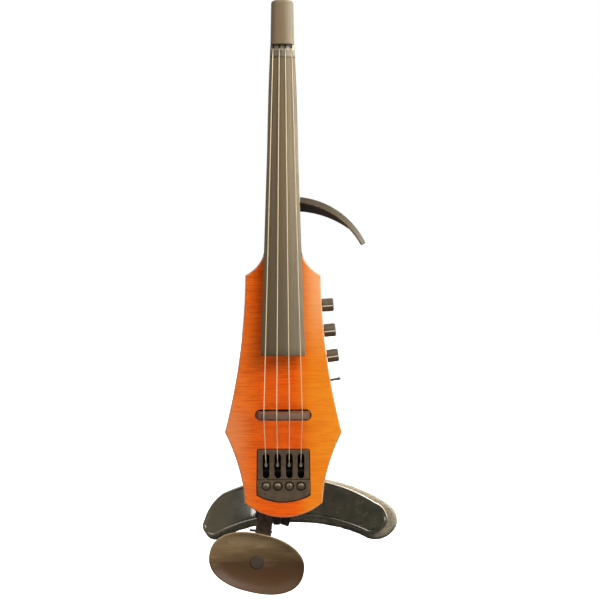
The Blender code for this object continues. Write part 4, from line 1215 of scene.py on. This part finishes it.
def make_bridge():
    """A blade as wide as its slot, cambered on top, arched between its feet, with eased edges."""
    crown_half, foot_half = 21.7, SLOT_HALF - 1.0
    foot = FRONT + 3 - 2 * GAP
    outline = []
    for i in range(49):
        x = between(-crown_half, crown_half, i / 48)
        outline.append((x, FRONT - BRIDGE_CROWN + 0.75 + x * x / (2 * CAMBER_RADIUS)))
    waist, ankle = (foot_half - 1.9, FRONT - 8), (foot_half - 1.2, FRONT - 4)
    outline += arc((crown_half + 0.3, FRONT - 17.6), waist, ankle, 8)
    outline += [(foot_half - 0.1, FRONT - 2.6), (foot_half, FRONT - 1.5), (foot_half, foot)]
    outline += arc((9.0, foot), (0, FRONT - 6.5), (-9.0, foot), 24)
    left = [(-foot_half, foot), (-foot_half, FRONT - 1.5), (-foot_half + 0.1, FRONT - 2.6)]
    left += [(-x, y) for x, y in reversed(outline[49:58])]
    outline += left
    rings = []
    for share in (-1.0, -0.93, -0.8, 0.8, 0.93, 1.0):
        edge = {1.0: 0.45, 0.93: 0.13, 0.8: 0.0}[abs(share)]
        ring = []
        for x, y in inset(outline, edge):
            rise = min(max((FRONT - y) / (BRIDGE_CROWN - 4), 0), 1)
            past_straight = max(abs(x) - (SLOT_HALF - SLOT_RADIUS), 0)
            round_end = math.sqrt((SLOT_RADIUS - GAP) ** 2 - past_straight**2)
            ring.append((x, y, share * min(between(4.1, 2.6, rise), round_end)))
        rings.append(ring)
    bridge = raw_object("bridge_blade", ring_solid(rings))
    notches = []
    for x, end_x, radius in zip(BRIDGE_X, TUNER_X, STRING_RADII):
        top = Vector((x, string_front(x, 0), 0))
        fall = (Vector((end_x, TIP_Y - 1.2, STRING_END_Z)) - top).normalized()
        notches.append(rod(top + Vector((0, 0, -1)), top + Vector((0, 0, 7)), radius + 0.12, 20))
        notches.append(rod(top - fall, top + fall * 8, radius + 0.12, 20))
    cut(bridge, *notches)
    dress(bridge, BRIDGE, "bridge")


def clamp_slot(x):
    r = SLOT_WIDTH / 2
    low, high = SLOT_Z
    top = arc((x + r, high - r), (x, high), (x - r, high - r), 16)
    return top + arc((x - r, low + r), (x, low), (x + r, low + r), 16)


def make_tuner_block():
    """The slotted frame with its four clamp slots, and the end block with its bowls."""
    front, back = BLOCK_LOW.y, BLOCK_HIGH.y
    frame_half = between(BLOCK_HALF, BLOCK_CORNER[0], 0.65)
    top = BLOCK_HIGH.z
    corners = [(-frame_half, BLOCK_LOW.z), (-BLOCK_HALF, top), (BLOCK_HALF, top), (frame_half, BLOCK_LOW.z)]
    outline = softened(corners, 2.0, 6)
    outline = [(x, max(z, BLOCK_LOW.z)) for x, z in outline]
    rim = [(front + 0.7, 0), (front + 0.25, 0.25), (front, 0.8)]
    plate = raw_object("tuner_frame_machined", stacked(outline, [(back, 0), *rim]))
    slots = [pocket(clamp_slot(x), front, back + 2, 0.45) for x in TUNER_X]
    slots.append(rod((-30, AXLE.y, AXLE.z), (30, AXLE.y, AXLE.z), 1.4, 24))
    cut(plate, *slots, *pilot_holes(BLOCK_SCREWS[:2], -20.5, -10))
    dress(plate, TUNER, "tuner_frame")
    x, z = BLOCK_CORNER
    seam = BLOCK_SEAM_Z - 0.15
    bottom = arc((x, z), (0, BLOCK_BOTTOM_Z), (-x, z), 32)
    corners = [(frame_half, seam), bottom[0], *bottom[2:-2], bottom[-1], (-frame_half, seam)]
    outline = softened(corners, 1.2, 3, closed=False)
    plate = raw_object("tuner_end_machined", stacked(outline, [(back, 0), *rim]))
    wells = []
    for x in TUNER_X:
        bowl = [(0, 5.7), (1.0, 4.8), (1.5, 4.3), (2.2, 4.0), (4.2, 3.95), (4.2, 1.9), (20, 1.9)]
        wells.append(turned((x, front - 1, SPINDLE_Z), (0, 1, 0), bowl, 48))
    cut(plate, *wells, *pilot_holes(BLOCK_SCREWS[2:], -20.5, -10))
    dress(plate, TUNER, "tuner_end_block")


def make_spindle(number, x):
    """A spindle with its dome in front, turned by the knurled knob behind."""
    front = BLOCK_LOW.y - 1.4
    dome = []
    for i in range(10):
        a = math.pi / 2 * (i + 0.6) / 9.6
        dome.append((2.6 * (1 - math.cos(a)), 3.65 * math.sin(a)))
    dome += [(3.0, 3.65), (3.2, 3.45), (3.2, 1.6)]
    knob = [(24.4, 1.6), (24.4, 4.1, 0.0), (24.8, 4.8, 0.0), (25.1, 4.8, 0.35), (33.4, 4.8, 0.35)]
    knob += [(33.7, 4.7, 0.0), (34.1, 4.3, 0.0)]
    profile = turned((x, front, SPINDLE_Z), (0, 1, 0), dome + knob, 96, 24)
    spindle = raw_object(f"spindle_knurled_{number}", profile)
    cut(spindle, box((x - 5, x + 5), (3.4, 5.2), (SPINDLE_Z - 0.4, SPINDLE_Z + 0.4)))
    dress(spindle, DOME, f"tuner_spindle_{number}", f"spindle_{number}")


def make_crank(number, x):
    """The bell crank that the spindle's thread moves, with the tip that clamps the string."""
    arm = [
        (TIP_Y + 1.5, -45.5), (AXLE.y - 2.4, -49.0), (-12.6, -50.2), (-12.6, -61.0), (-9.8, -61.0),
        (-9.8, -48.0), (-17.0, -48.0), (TIP_Y + 3.0, -44.2),
    ]
    crank = raw_object(f"crank_{number}", slab(softened(arm, 0.6, 3), x - 2.3, x + 2.3, 0.4, "X", 3))
    hub = [(0, 2.7), (0.3, 3.0), (4.3, 3.0), (4.6, 2.7)]
    join(
        crank,
        turned((x - 2.3, AXLE.y, AXLE.z), (1, 0, 0), hub, 36),
        box((x - 2.0, x + 2.0), (-19.5, -9.9), (-53.5, -48.5)),
        rod((x, -12.6, SPINDLE_Z), (x, -9.8, SPINDLE_Z), 4.3, 40),
        box((x - 2.3, x + 2.3), (-12.5, -9.9), (SPINDLE_Z + 2.6, -60)),
    )
    cut(
        crank,
        rod((x - 4, AXLE.y, AXLE.z), (x + 4, AXLE.y, AXLE.z), 1.45, 28),
        rod((x, -15, SPINDLE_Z), (x, -7, SPINDLE_Z), 2.9, 28),
    )
    dress(crank, CRANK, f"tuner_lever_{number}", f"lever_{number}")
    cone = [(0, 1.1), (0.4, 1.35), (1.4, 1.4), (2.6, 1.15), (3.8, 0.85), (5.2, 0.62)]
    root = (x, TIP_Y + 2.2, TIP_Z - 3.4)
    tip = raw_object(f"clamp_tip_{number}", turned(root, (0, -0.55, 1.0), cone, 32))
    tip.data.shade_smooth()
    tip.data.set_sharp_from_angle(angle=math.radians(40))
    add_detail(tip, TIP, f"lever_{number}")


# ---------- controls ----------


def make_knob(name, z):
    """A ribbed knob with a pointer line let into its side and end."""
    axis = side_normal(z)
    centre = control_point(z, 0)
    rim = KNOB_RADIUS
    shaft = [(-12.0, 1.5), (0.4, 1.5), (0.4, rim - 0.5, 0.0), (0.7, rim - 0.1, 0.0), (1.2, rim, 0.16)]
    shaft += [(KNOB_LENGTH - 1.6, rim, 0.16), (KNOB_LENGTH - 1.0, rim - 0.08, 0.0)]
    shaft += [(KNOB_LENGTH - 0.4, rim - 0.45, 0.0), (KNOB_LENGTH - 0.05, rim - 1.0, 0.0)]
    shaft += [(KNOB_LENGTH, rim - 1.5, 0.0)]
    knob = raw_object(f"{name}_knob_turned", turned(centre, axis, shaft, 144, 36))
    down = axis.cross(Vector((0, 1, 0))).normalized()
    if down.z > 0:
        down = -down
    facing = (Vector((0, -1, 0)) * math.cos(0.17) + down * math.sin(0.17)).normalized()
    across = axis.cross(facing).normalized()
    base = Matrix((facing, across, axis)).transposed().to_4x4()
    place = Matrix.Translation(centre) @ base
    groove = stacked(rectangle((rim - 0.5, rim + 1), (-0.45, 0.45)), [(0.2, 0), (KNOB_LENGTH + 1, 0)], "Z")
    cut(knob, groove, turn=place)
    dress(knob, KNOB, f"{name}_knob", f"{name}_knob")
    line = rounded_rectangle((rim - 0.7, rim + 0.02), (-0.4, 0.4), 0.08, 2)
    mark = raw_object(f"{name}_pointer", slab(line, 0.5, KNOB_LENGTH - 0.6, 0.05, "Z", 2), place)
    add_detail(mark, POINTER, f"{name}_knob")


def make_controls():
    for name, z in CONTROLS.items():
        make_knob(name, z)
    axis = side_normal(TOGGLE_Z)
    bat = [(0, 0.8), (0.6, 1.1), (1.4, 1.15), (8.6, 1.1), (11.2, 1.35), (12.5, 1.42)]
    bat += [(13.3, 1.2), (13.7, 0.7)]
    lever = raw_object("toggle_bat", turned(control_point(TOGGLE_Z, -4.0), axis, bat, 32))
    dress(lever, CHROME, "toggle_lever", "toggle")


def make_jack():
    start = (JACK.x, span("output_jack")[0].y, JACK.z)
    profile = [(0, 4.0), (0, 5.5), (19.9, 5.5), (19.9, 7.0), (20.1, 7.2), (21.2, 7.2), (21.5, 6.9)]
    profile += [(21.5, 5.4), (21.2, 5.2), (21.2, 4.2), (21.5, 4.0), (21.5, 3.5), (21.3, 3.3), (3.0, 3.3)]
    jack = raw_object("output_socket", turned(start, (0, 1, 0), profile, 64))
    dress(jack, STEEL, "output_jack", sharp=30)


# ---------- side arm ----------


def make_side_arm():
    """A bent strip that gives the hand an upper bout to feel, on a plate screwed behind the heel."""
    outer = arc((15.9, 201.1), (53.1, 186.8), (76.6, 158.4), 48)
    inner = arc((15.9, 195.6), (50.6, 182.0), (72.9, 156.8), 48)
    tip = softened([outer[-2], outer[-1], inner[-1], inner[-2]], 1.4, 5, closed=False)[1:-1]
    outline = outer[:-1] + tip + inner[::-1][1:]
    low, high = span("side_arm_strip")
    strip = raw_object("bout_strip", slab(outline, low.y, high.y, 0.5, steps=4))
    dress(strip, ARM, "side_arm_strip")
    top = arc((13.0, 198.0), (47.0, 187.0), (65.0, 175.0), 32)
    under = arc((61.3, 172.6), (44.0, 182.2), (15.9, 188.8), 32)
    foot = [(11.0, 188.0), (11.0, 171.0), (-11.0, 171.0), (-11.0, 190.0), (-8.0, 193.5)]
    low, high = span("side_arm_rib")
    outline = softened(foot, 1.2, 4)
    rib = raw_object("bout_rib", slab(top + under + outline, low.y, high.y, 0.5, steps=3))
    sink = [(0, 4.2), (1.2, 3.1), (2.4, 2.9), (2.4, 1.5), (8, 1.5)]
    cut(rib, *screw_wells(ARM_SCREWS, high.y + 0.8, sink))
    dress(rib, RIB, "side_arm_rib")


# ---------- tail bracket and chin rest ----------


def make_tail_bracket():
    left, right = BRACKET_LOW.x, BRACKET_HIGH.x
    outline = [
        (left, BRACKET_TOP_Z), (right, BRACKET_TOP_Z), (right, BRACKET_BOTTOM_Z + 6),
        (right - 6, BRACKET_BOTTOM_Z), (TONGUE_X[1], BRACKET_BOTTOM_Z), (TONGUE_X[1], TONGUE_Z),
        (TONGUE_X[0], TONGUE_Z), (TONGUE_X[0], BRACKET_LIP_Z), (left, BRACKET_LIP_Z),
    ]
    plate = slab(softened(outline, 1.5, 4), BRACKET_LOW.y, BRACKET_BACK, 0.5, steps=3)
    bracket = raw_object("tail_bracket_milled", plate)
    x, z = BAR_CENTRE
    channel = box((x - BAR_HALF - GAP, x + BAR_HALF + GAP), (-1, BAR_Y[1] + GAP), (z - 30, z + 30))
    cut(bracket, channel, turn=about(x, z, BAR_TILT))
    bore = rod((POST[0], -1, POST[1]), (POST[0], 12, POST[1]), 4.3, 40)
    sink = [(0, 4.0), (1.2, 2.9), (5.2, 2.7), (5.2, 1.5), (14, 1.5)]
    cut(bracket, bore, *screw_wells(BRACKET_SCREWS, 9.4, sink))
    length = LOCK_Y[1] - 7.0
    stud = [(0, 2.0), (length - 0.3, 2.0), (length, 1.7)]
    join(bracket, turned((LOCK[0], 8.0, LOCK[1]), (0, 1, 0), stud, 32))
    dress(bracket, BRACKET, "tail_bracket")


def make_lock_lever():
    """A cranked lever on the bracket's stud; its lower end leans to the G string's side."""
    x, z = LOCK
    blade = [
        (-3.4, 3.2), (3.4, 3.2), (4.6, -6.0), (9.6, -12.4), (6.9, -22.5), (-1.1, -20.0),
        (0.5, -14.2), (-3.8, -6.0),
    ]
    outline = softened([(x + across, z + up) for across, up in blade], 1.2, 4)
    lever = raw_object("lock_handle", slab(outline, *LOCK_Y, 0.5, steps=3))
    cut(lever, rod((x, LOCK_Y[0] - 2, z), (x, LOCK_Y[1] + 2, z), 2.3, 32))
    dress(lever, BRACKET, "lock_lever", "lock_lever")


def pin_bore():
    x = BAR_CENTRE[0]
    return rod((x - 12, PIN_Y, PIN_Z), (x + 12, PIN_Y, PIN_Z), PIN_RADIUS + 0.2)


def make_chin_bar():
    """The sliding bar, ribbed along its length, with two ears that hold the pin."""
    x, z = BAR_CENTRE
    turn = about(x, z, BAR_TILT)
    ribs = 11
    pitch = 2 * (BAR_HALF - 0.8) / ribs
    face = [(x - BAR_HALF, BAR_Y[1] - 0.3), (x - BAR_HALF, BAR_Y[0] + 0.5), (x - BAR_HALF + 0.5, BAR_Y[0])]
    for i in range(ribs):
        left = x - BAR_HALF + 0.8 + i * pitch
        for share, groove in ((0, 0), (0.2, 0.45), (0.5, 0.45), (0.7, 0)):
            face.append((left + pitch * share, BAR_Y[0] + groove))
    face += [(x + BAR_HALF - 0.5, BAR_Y[0]), (x + BAR_HALF, BAR_Y[0] + 0.5), (x + BAR_HALF, BAR_Y[1] - 0.3)]
    face += [(x + BAR_HALF - 0.3, BAR_Y[1]), (x - BAR_HALF + 0.3, BAR_Y[1])]
    rings = [[(u, v, depth) for u, v in face] for depth in BAR_Z]
    bar = raw_object("ribbed_slide", ring_solid(rings), turn)
    ears = []
    for side in (-1, 1):
        ear = sorted((x + side * (BAR_HALF - 0.3), x + side * 4.2))
        ears.append(box(ear, (BAR_Y[1] - 1, PIN_Y + 2.4), (PIN_Z - 4, PIN_Z + 4)))
    join(bar, *ears, turn=turn)
    cut(bar, pin_bore(), turn=turn)
    dress(bar, RIBBED, "chinrest_bar", "chinrest_bar", sharp=25)
    ends = (x - BAR_HALF - 5.7, x + BAR_HALF + 0.6)
    length = ends[1] - ends[0]
    profile = [(0, 0.8), (0.3, 1.15), (0.6, 1.2), (length - 0.4, 1.2), (length, 0.8)]
    pin = raw_object("hinge_pin", turned((ends[0], PIN_Y, PIN_Z), (1, 0, 0), profile, 32), turn)
    dress(pin, STEEL, "chinrest_pin", "chinrest_bar")


def make_chin_arm():
    x, z = BAR_CENTRE
    turn = about(x, z, BAR_TILT)
    px, pz = PLATE_CENTRE
    outline = [
        (PIN_Y - 2.4, PIN_Z + 1.0), (PIN_Y - 2.4, PIN_Z - 9.0), (PIN_Y - 5.0, PIN_Z - 11.6),
        (-26.0, -124.5), (-30.9, -127.0), (-30.9, -141.0), (-26.9, -141.0), (-26.9, -130.0),
        (PIN_Y - 4.0, PIN_Z - 16.0), (PIN_Y + 2.4, PIN_Z - 11.0), (PIN_Y + 2.4, PIN_Z + 1.0),
    ]
    arm = raw_object("chin_arm_bent", slab(softened(outline, 1.6, 5), x - 3.8, x + 3.8, 0.5, "X", 3), turn)
    join(arm, turned((px, -31.0, pz), (0, 1, 0), [(0, 8.6), (0.4, 9.0), (3.8, 9.0), (4.2, 8.6)], 64))
    cut(arm, pin_bore(), turn=turn)
    cut(arm, rod((px, -40, pz), (px, -20, pz), 2.3))
    dress(arm, BRACKET, "chinrest_arm", "chinrest_arm")


def squared_circle(power, sides):
    """Points of a unit circle that is squarer as the power rises above 2."""
    points = []
    for i in range(sides):
        c, s = math.cos(math.tau * i / sides), math.sin(math.tau * i / sides)
        reach = (abs(c) ** power + abs(s) ** power) ** (-1 / power)
        points.append((c * reach, s * reach))
    return points


def oval(share):
    a, b = PLATE_AXES
    return [(share * a * u, share * b * v) for u, v in squared_circle(PLATE_POWER, 128)]


def make_chin_plate():
    px, pz = PLATE_CENTRE
    tilt = about(px, pz, PLATE_TILT)
    dish = [(0.06 + 0.12 * i, PLATE_Y + 0.5 - 5.2 * (0.06 + 0.12 * i) ** 2.6) for i in range(7)]
    dish += [(0.85, PLATE_Y - 3.6), (0.9, PLATE_Y - 4.55), (0.93, PLATE_Y - 5.25), (0.95, PLATE_Y - 5.7)]
    rim = [(0.965, PLATE_Y - 5.98), (0.978, PLATE_Y - 6.05), (0.99, PLATE_Y - 5.8), (0.998, PLATE_Y - 5.2)]
    rim += [(1.0, PLATE_Y - 4.5), (0.995, PLATE_Y - 3.4), (0.975, PLATE_Y - 2.2)]
    under = [(0.94, PLATE_Y - 1.1), (0.86, PLATE_Y + 0.7), (0.75, PLATE_Y + 2.3), (0.6, PLATE_Y + 3.8)]
    under += [(0.4, PLATE_Y + 4.9), (0.2, PLATE_Y + 5.1)]
    rings = [[(px + u, y, pz + w) for u, w in oval(share)] for share, y in dish + rim + under]
    plate = raw_object("chin_dish", ring_solid(rings), tilt)
    seat = [(0, 6.25), (2.6, 6.25), (2.6, 2.1), (14, 2.1)]
    cut(plate, turned((px, PLATE_Y - 1.4, pz), (0, 1, 0), seat, 48))
    dress(plate, CHIN, "chinrest_plate", "chinrest_plate", sharp=50)
    head = [(0, 5.3), (0.12, 5.7), (0.4, 5.9), (1.3, 5.9), (1.3, 1.9), (12.0, 1.9)]
    disc = raw_object("chin_plug", turned((px, PLATE_Y - 0.3, pz), (0, 1, 0), head, 64))
    dress(disc, PLUG, "chinrest_screw", "chinrest_plate")


# ---------- shoulder rest ----------


def crescent(edges, levels, front, steps):
    """A curved slab between two arcs: insets of its outline, with faces that can bend."""
    left, top, right, bottom = (edges[side] for side in ("left", "top", "right", "bottom"))
    end, long = max(steps // 4, 4), steps
    upper = arc(left[0], left[1], top[0], end)[1:] + arc(*top, long)[1:]
    upper += arc(top[-1], right[0], right[1], end)[1:-1]
    lower = arc(left[0], left[2], bottom[0], end)[1:] + arc(*bottom, long)[1:]
    lower += arc(bottom[-1], right[2], right[1], end)[1:-1]
    outline = upper + lower[::-1]
    mesh = bmesh.new()
    loops = []
    for y, edge in levels:
        loops.append([mesh.verts.new((x, y, z)) for x, z in inset(outline, edge)])
    for near, far in zip(loops, loops[1:]):
        for i in range(len(near)):
            j = (i + 1) % len(near)
            mesh.faces.new((near[i], near[j], far[j], far[i]))
    for loop in (loops[0], loops[-1]):
        fill_pairs(mesh, loop, 10)
    bmesh.ops.recalc_face_normals(mesh, faces=mesh.faces)
    for vert in mesh.verts:
        reach = vert.co.x - POST[0]
        lean = 15.0 if reach < 0 else 4.0
        vert.co.y += front + lean * (abs(reach) / 92) ** 2
    return mesh


def fill_pairs(mesh, loop, rows):
    """Fill a loop whose points face each other in pairs with a grid that can bend."""
    half = len(loop) // 2
    columns = []
    for i in range(half):
        top, low = loop[i], loop[-1 - i]
        inner = []
        if 0 < i < half - 1:
            inner = [mesh.verts.new(top.co.lerp(low.co, j / rows)) for j in range(1, rows)]
        columns.append([top, *inner, low])
    for left, right in zip(columns, columns[1:]):
        if len(left) == len(right):
            for j in range(len(left) - 1):
                mesh.faces.new((left[j], left[j + 1], right[j + 1], right[j]))
        else:
            mesh.faces.new([*left, *reversed(right)])


def inflate(piece, voxel, pressure, frames, cap):
    """Swell a closed fabric piece by cloth simulation, cap how far it moves and keep the result."""
    remesh = piece.modifiers.new("remesh", "REMESH")
    remesh.mode = "VOXEL"
    remesh.voxel_size = voxel * MM
    bake(piece)
    start = [vert.co.copy() for vert in piece.data.vertices]
    cloth = piece.modifiers.new("cloth", "CLOTH")
    cloth.settings.quality = 6
    cloth.settings.mass = 0.2
    cloth.settings.use_pressure = True
    cloth.settings.uniform_pressure_force = pressure
    cloth.settings.effector_weights.gravity = 0
    cloth.point_cache.frame_start = 1
    cloth.point_cache.frame_end = frames
    for step in range(1, frames + 1):
        bpy.context.scene.frame_set(step)
    bake(piece)
    bpy.context.scene.frame_set(1)
    for vert, origin in zip(piece.data.vertices, start):
        step = vert.co - origin
        if step.length > cap * MM:
            vert.co = origin + step * (cap * MM / step.length)


def make_shell():
    levels = [(0.55, 4.2), (0.5, 3.2), (0.3, 2.4), (0.05, 1.9), (-0.05, 1.4), (0.05, 0.8), (0.4, 0.25)]
    levels += [(0.9, 0.0), (2.4, 0.0), (3.0, 0.25), (3.4, 0.9), (3.4, 4.2)]
    shell = raw_object("shoulder_shell", crescent(SHELL_EDGES, levels, SHELL_Y, 72))
    x, z = POST
    join(shell, soft_box((x - 4.2, x + 4.2), (TILT_AXIS_Y - 3.0, SHELL_Y + 2), (z - 4, z + 4)))
    cut(shell, rod((x - 9, TILT_AXIS_Y, z), (x + 9, TILT_AXIS_Y, z), 1.8, 24))
    dress(shell, SHELL, "shoulder_rest_shell", "shoulder_rest", sharp=50)


def make_pad():
    """The pad: swollen a little by cloth simulation, then roughened like felt."""
    slack, margin = 0.9, 0.4
    rounded = rounding(slack, PAD_THICKNESS - slack, 3.2, 5)
    levels = [(y, edge + margin) for y, edge in rounded]
    pad = raw_object("felted_pad", crescent(PAD_EDGES, levels, PAD_Y, 60))
    inflate(pad, voxel=3.0, pressure=4.0, frames=20, cap=1.0)
    smooth = pad.modifiers.new("smooth", "SUBSURF")
    smooth.levels = 1
    smooth.render_levels = 1
    bake(pad)
    for vert in pad.data.vertices:
        wobble = noise.noise(vert.co / (2.2 * MM)) * 0.18 + noise.noise(vert.co / (0.9 * MM)) * 0.1
        vert.co += vert.normal * wobble * MM
    pad.data.materials.clear()
    pad.data.materials.append(FOAM.material)
    pad.data.shade_smooth()
    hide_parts("shoulder_rest_pad")
    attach(pad, "shoulder_rest")


def make_yoke_and_post():
    x, z = POST
    low, high = YOKE_LOW, YOKE_HIGH
    yoke = raw_object("tilt_yoke", soft_box((low.x, high.x), (low.y, low.y + 3.0), (low.z, high.z)))
    ears = []
    for side in (-1, 1):
        ear = sorted((x + side * 8.0, x + side * 4.6))
        round_end = arc((high.y - 4.5, z + 4.5), (high.y, z), (high.y - 4.5, z - 4.5), 16)
        profile = [(low.y + 1, z - 4.5), (low.y + 1, z + 4.5), *round_end]
        ears.append(slab(profile, ear[0], ear[1], 0.3, "X", 3))
    join(yoke, *ears)
    join(yoke, rod((x - 7.0, TILT_AXIS_Y, z), (x + 7.0, TILT_AXIS_Y, z), 1.5, 24))
    dress(yoke, BRACKET, "shoulder_yoke", "shoulder_yoke")

    radius = (POST_HIGH.x - POST_LOW.x) / 2
    length = POST_HIGH.y - POST_LOW.y
    profile = [(0, radius - 0.5), (0.5, radius)]
    pitch = 0.9
    for i in range(int((length - 1.4) / pitch)):
        base = 0.7 + i * pitch
        profile += [(base, radius), (base + 0.35, radius - 0.4)]
        profile += [(base + 0.5, radius - 0.4), (base + 0.8, radius)]
    profile += [(length - 0.4, radius), (length, radius - 0.5)]
    post = raw_object("height_post", turned((x, POST_LOW.y, z), (0, 1, 0), profile, 48))
    dress(post, STEEL, "shoulder_post", "shoulder_post", sharp=25)


# ---------- stage ----------


SKY = (0.5, 1.45)


def make_world():
    """White to the eye. Everything else gets light from the upper right and a dark room in front."""
    world = bpy.data.worlds.new("studio")
    bpy.context.scene.world = world
    world.use_nodes = True
    sky = Nodes(world.node_tree)
    sky.tree.nodes.clear()
    direction = sky.node("ShaderNodeTexCoord").outputs["Generated"]

    def towards(x, y, z, low, high):
        node = sky.node("ShaderNodeVectorMath", {0: direction}, operation="DOT_PRODUCT")
        node.inputs[1].default_value = Vector((x, y, z)).normalized()
        return sky.fitted(node.outputs["Value"], low, high)

    wash = sky.fitted(towards(0.72, -0.3, 0.62, -0.2, 1.0), 0, 1, *SKY, smooth=False)
    strength = sky.times(wash, towards(0, 1, 0, -0.96, -0.5))
    lit = sky.node("ShaderNodeBackground", {"Color": (1.0, 0.97, 0.92, 1), "Strength": strength})
    seen = sky.node("ShaderNodeBackground", {"Color": (1, 1, 1, 1)})
    camera_ray = sky.node("ShaderNodeLightPath").outputs["Is Camera Ray"]
    choice = sky.node("ShaderNodeMixShader", {0: camera_ray, 1: lit.outputs[0], 2: seen.outputs[0]})
    sky.node("ShaderNodeOutputWorld", {"Surface": choice.outputs[0]})


def make_floor():
    """A pale floor well below the violin that fades into the white surroundings."""
    height, reach = -0.6, 30.0
    mesh = bpy.data.meshes.new("floor")
    corners = [(x, y, height) for x, y in rectangle((-reach, reach), (-reach, reach))]
    mesh.from_pydata(corners, [], [(0, 1, 2, 3)])
    floor = bpy.data.objects.new("floor", mesh)
    bpy.context.scene.collection.objects.link(floor)
    look = Finish("pale_floor", "floor")
    distance = look.node("ShaderNodeVectorMath", {0: look.place}, operation="LENGTH").outputs["Value"]
    fade = look.fitted(distance, 0.9, 2.2)
    seen = look.node("ShaderNodeLightPath").outputs["Is Camera Ray"]
    look.surface(
        Base_Color=look.mix(seen, (0.2, 0.2, 0.19, 1), (0.86, 0.86, 0.85, 1)),
        Roughness=0.9,
        Emission_Color=(1, 1, 1, 1),
        Emission_Strength=look.times(fade, seen),
    )
    mesh.materials.append(look.material)


def area_light(name, place, target, size, power, colour):
    data = bpy.data.lights.new(name, "AREA")
    data.shape = "DISK"
    data.size = size
    data.energy = power
    data.color = colour
    lamp = bpy.data.objects.new(name, data)
    lamp.location = place
    lamp.rotation_mode = "QUATERNION"
    lamp.rotation_quaternion = (Vector(target) - Vector(place)).to_track_quat("-Z", "Y")
    bpy.context.scene.collection.objects.link(lamp)
    return lamp


def light_group(name, pieces, state="INCLUDE"):
    """A collection for light linking: only these pieces, or all but these."""
    group = bpy.data.collections.new(name)
    for piece in pieces:
        group.objects.link(bpy.data.objects[piece])
    for entry in group.collection_objects:
        entry.light_linking.link_state = state
    return group


def make_lights():
    """A key from the upper right, fills, a rim light and a window seen in the gloss shell."""
    key = area_light("key", (1.1, -1.3, 1.2), (0, 0, 0.08), 1.3, 29, (1, 0.97, 0.92))
    key.light_linking.blocker_collection = light_group("key_passes", ["bridge_blade"], "EXCLUDE")
    fill = area_light("fill", (-1.0, -1.5, 1.1), (0, 0, 0.02), 1.5, 15, (1, 0.95, 0.88))
    passed = ["bridge_blade", "ebony_fingerboard"]
    fill.light_linking.blocker_collection = light_group("fill_passes", passed, "EXCLUDE")
    low = area_light("low_fill", (0.1, -2.0, -1.2), (0, 0, 0), 1.2, 12, (1, 0.96, 0.9))
    matte = ["maple_body", "ebony_fingerboard", "nut_ramp", "headpiece_cap", "bridge_blade"]
    matte += ["bout_strip", "bout_rib"]
    low.light_linking.receiver_collection = light_group("low_lit", matte)
    low.light_linking.blocker_collection = light_group("low_passes", ["floor"], "EXCLUDE")
    rim = area_light("rim", (0.95, 0.45, 0.9), (0, 0, -0.02), 0.7, 34, (1, 0.98, 0.95))
    edges = ["maple_body", "shoulder_shell", "chin_dish", "felted_pad"]
    rim.light_linking.receiver_collection = light_group("rim_lit", edges)
    window = area_light("window", (-0.62, -2.2, -0.42), (-0.02, 0, -0.09), 0.42, 7, (1, 0.95, 0.84))
    window.light_linking.receiver_collection = light_group("window_lit", ["shoulder_shell"])


def make_camera():
    data = bpy.data.cameras.new("camera")
    data.sensor_width = 36
    data.lens = 97.83
    data.clip_end = 100
    camera = bpy.data.objects.new("camera", data)
    camera.location = Vector((15.64, -1528, 105.8)) * MM
    camera.rotation_euler = (math.pi / 2, math.radians(0.15), 0)
    bpy.context.scene.collection.objects.link(camera)
    bpy.context.scene.camera = camera
    bpy.context.scene.view_settings.view_transform = "Standard"


# ---------- the whole violin ----------

make_body()
make_cover()
for point in range(1, 5):
    recessed_screw(f"cover_screw_{point}")
    recessed_screw(f"tuner_screw_{point}")
for point in (1, 2):
    recessed_screw(f"side_arm_screw_{point}", 2.6)
    recessed_screw(f"bracket_screw_{point}")
make_neck()
make_fingerboard()
make_nut()
make_head()
make_head_screw()
make_strings()
make_bridge()
make_tuner_block()
for number, across in enumerate(TUNER_X, 1):
    make_spindle(number, across)
    make_crank(number, across)
make_controls()
make_jack()
make_side_arm()
make_tail_bracket()
make_lock_lever()
make_chin_bar()
make_chin_arm()
make_chin_plate()
make_shell()
make_pad()
make_yoke_and_post()

coat_node("bridge_pickup", BRASS)
coat_node("tuner_axle", STEEL)
for name in CONTROLS:
    coat_node(f"{name}_control_body", STEEL)
coat_node("toggle_switch_body", STEEL)
coat_node("preamp_board", BOARD_GREEN)
coat_node("battery", BATTERY)

make_world()
make_floor()
make_lights()
make_camera()
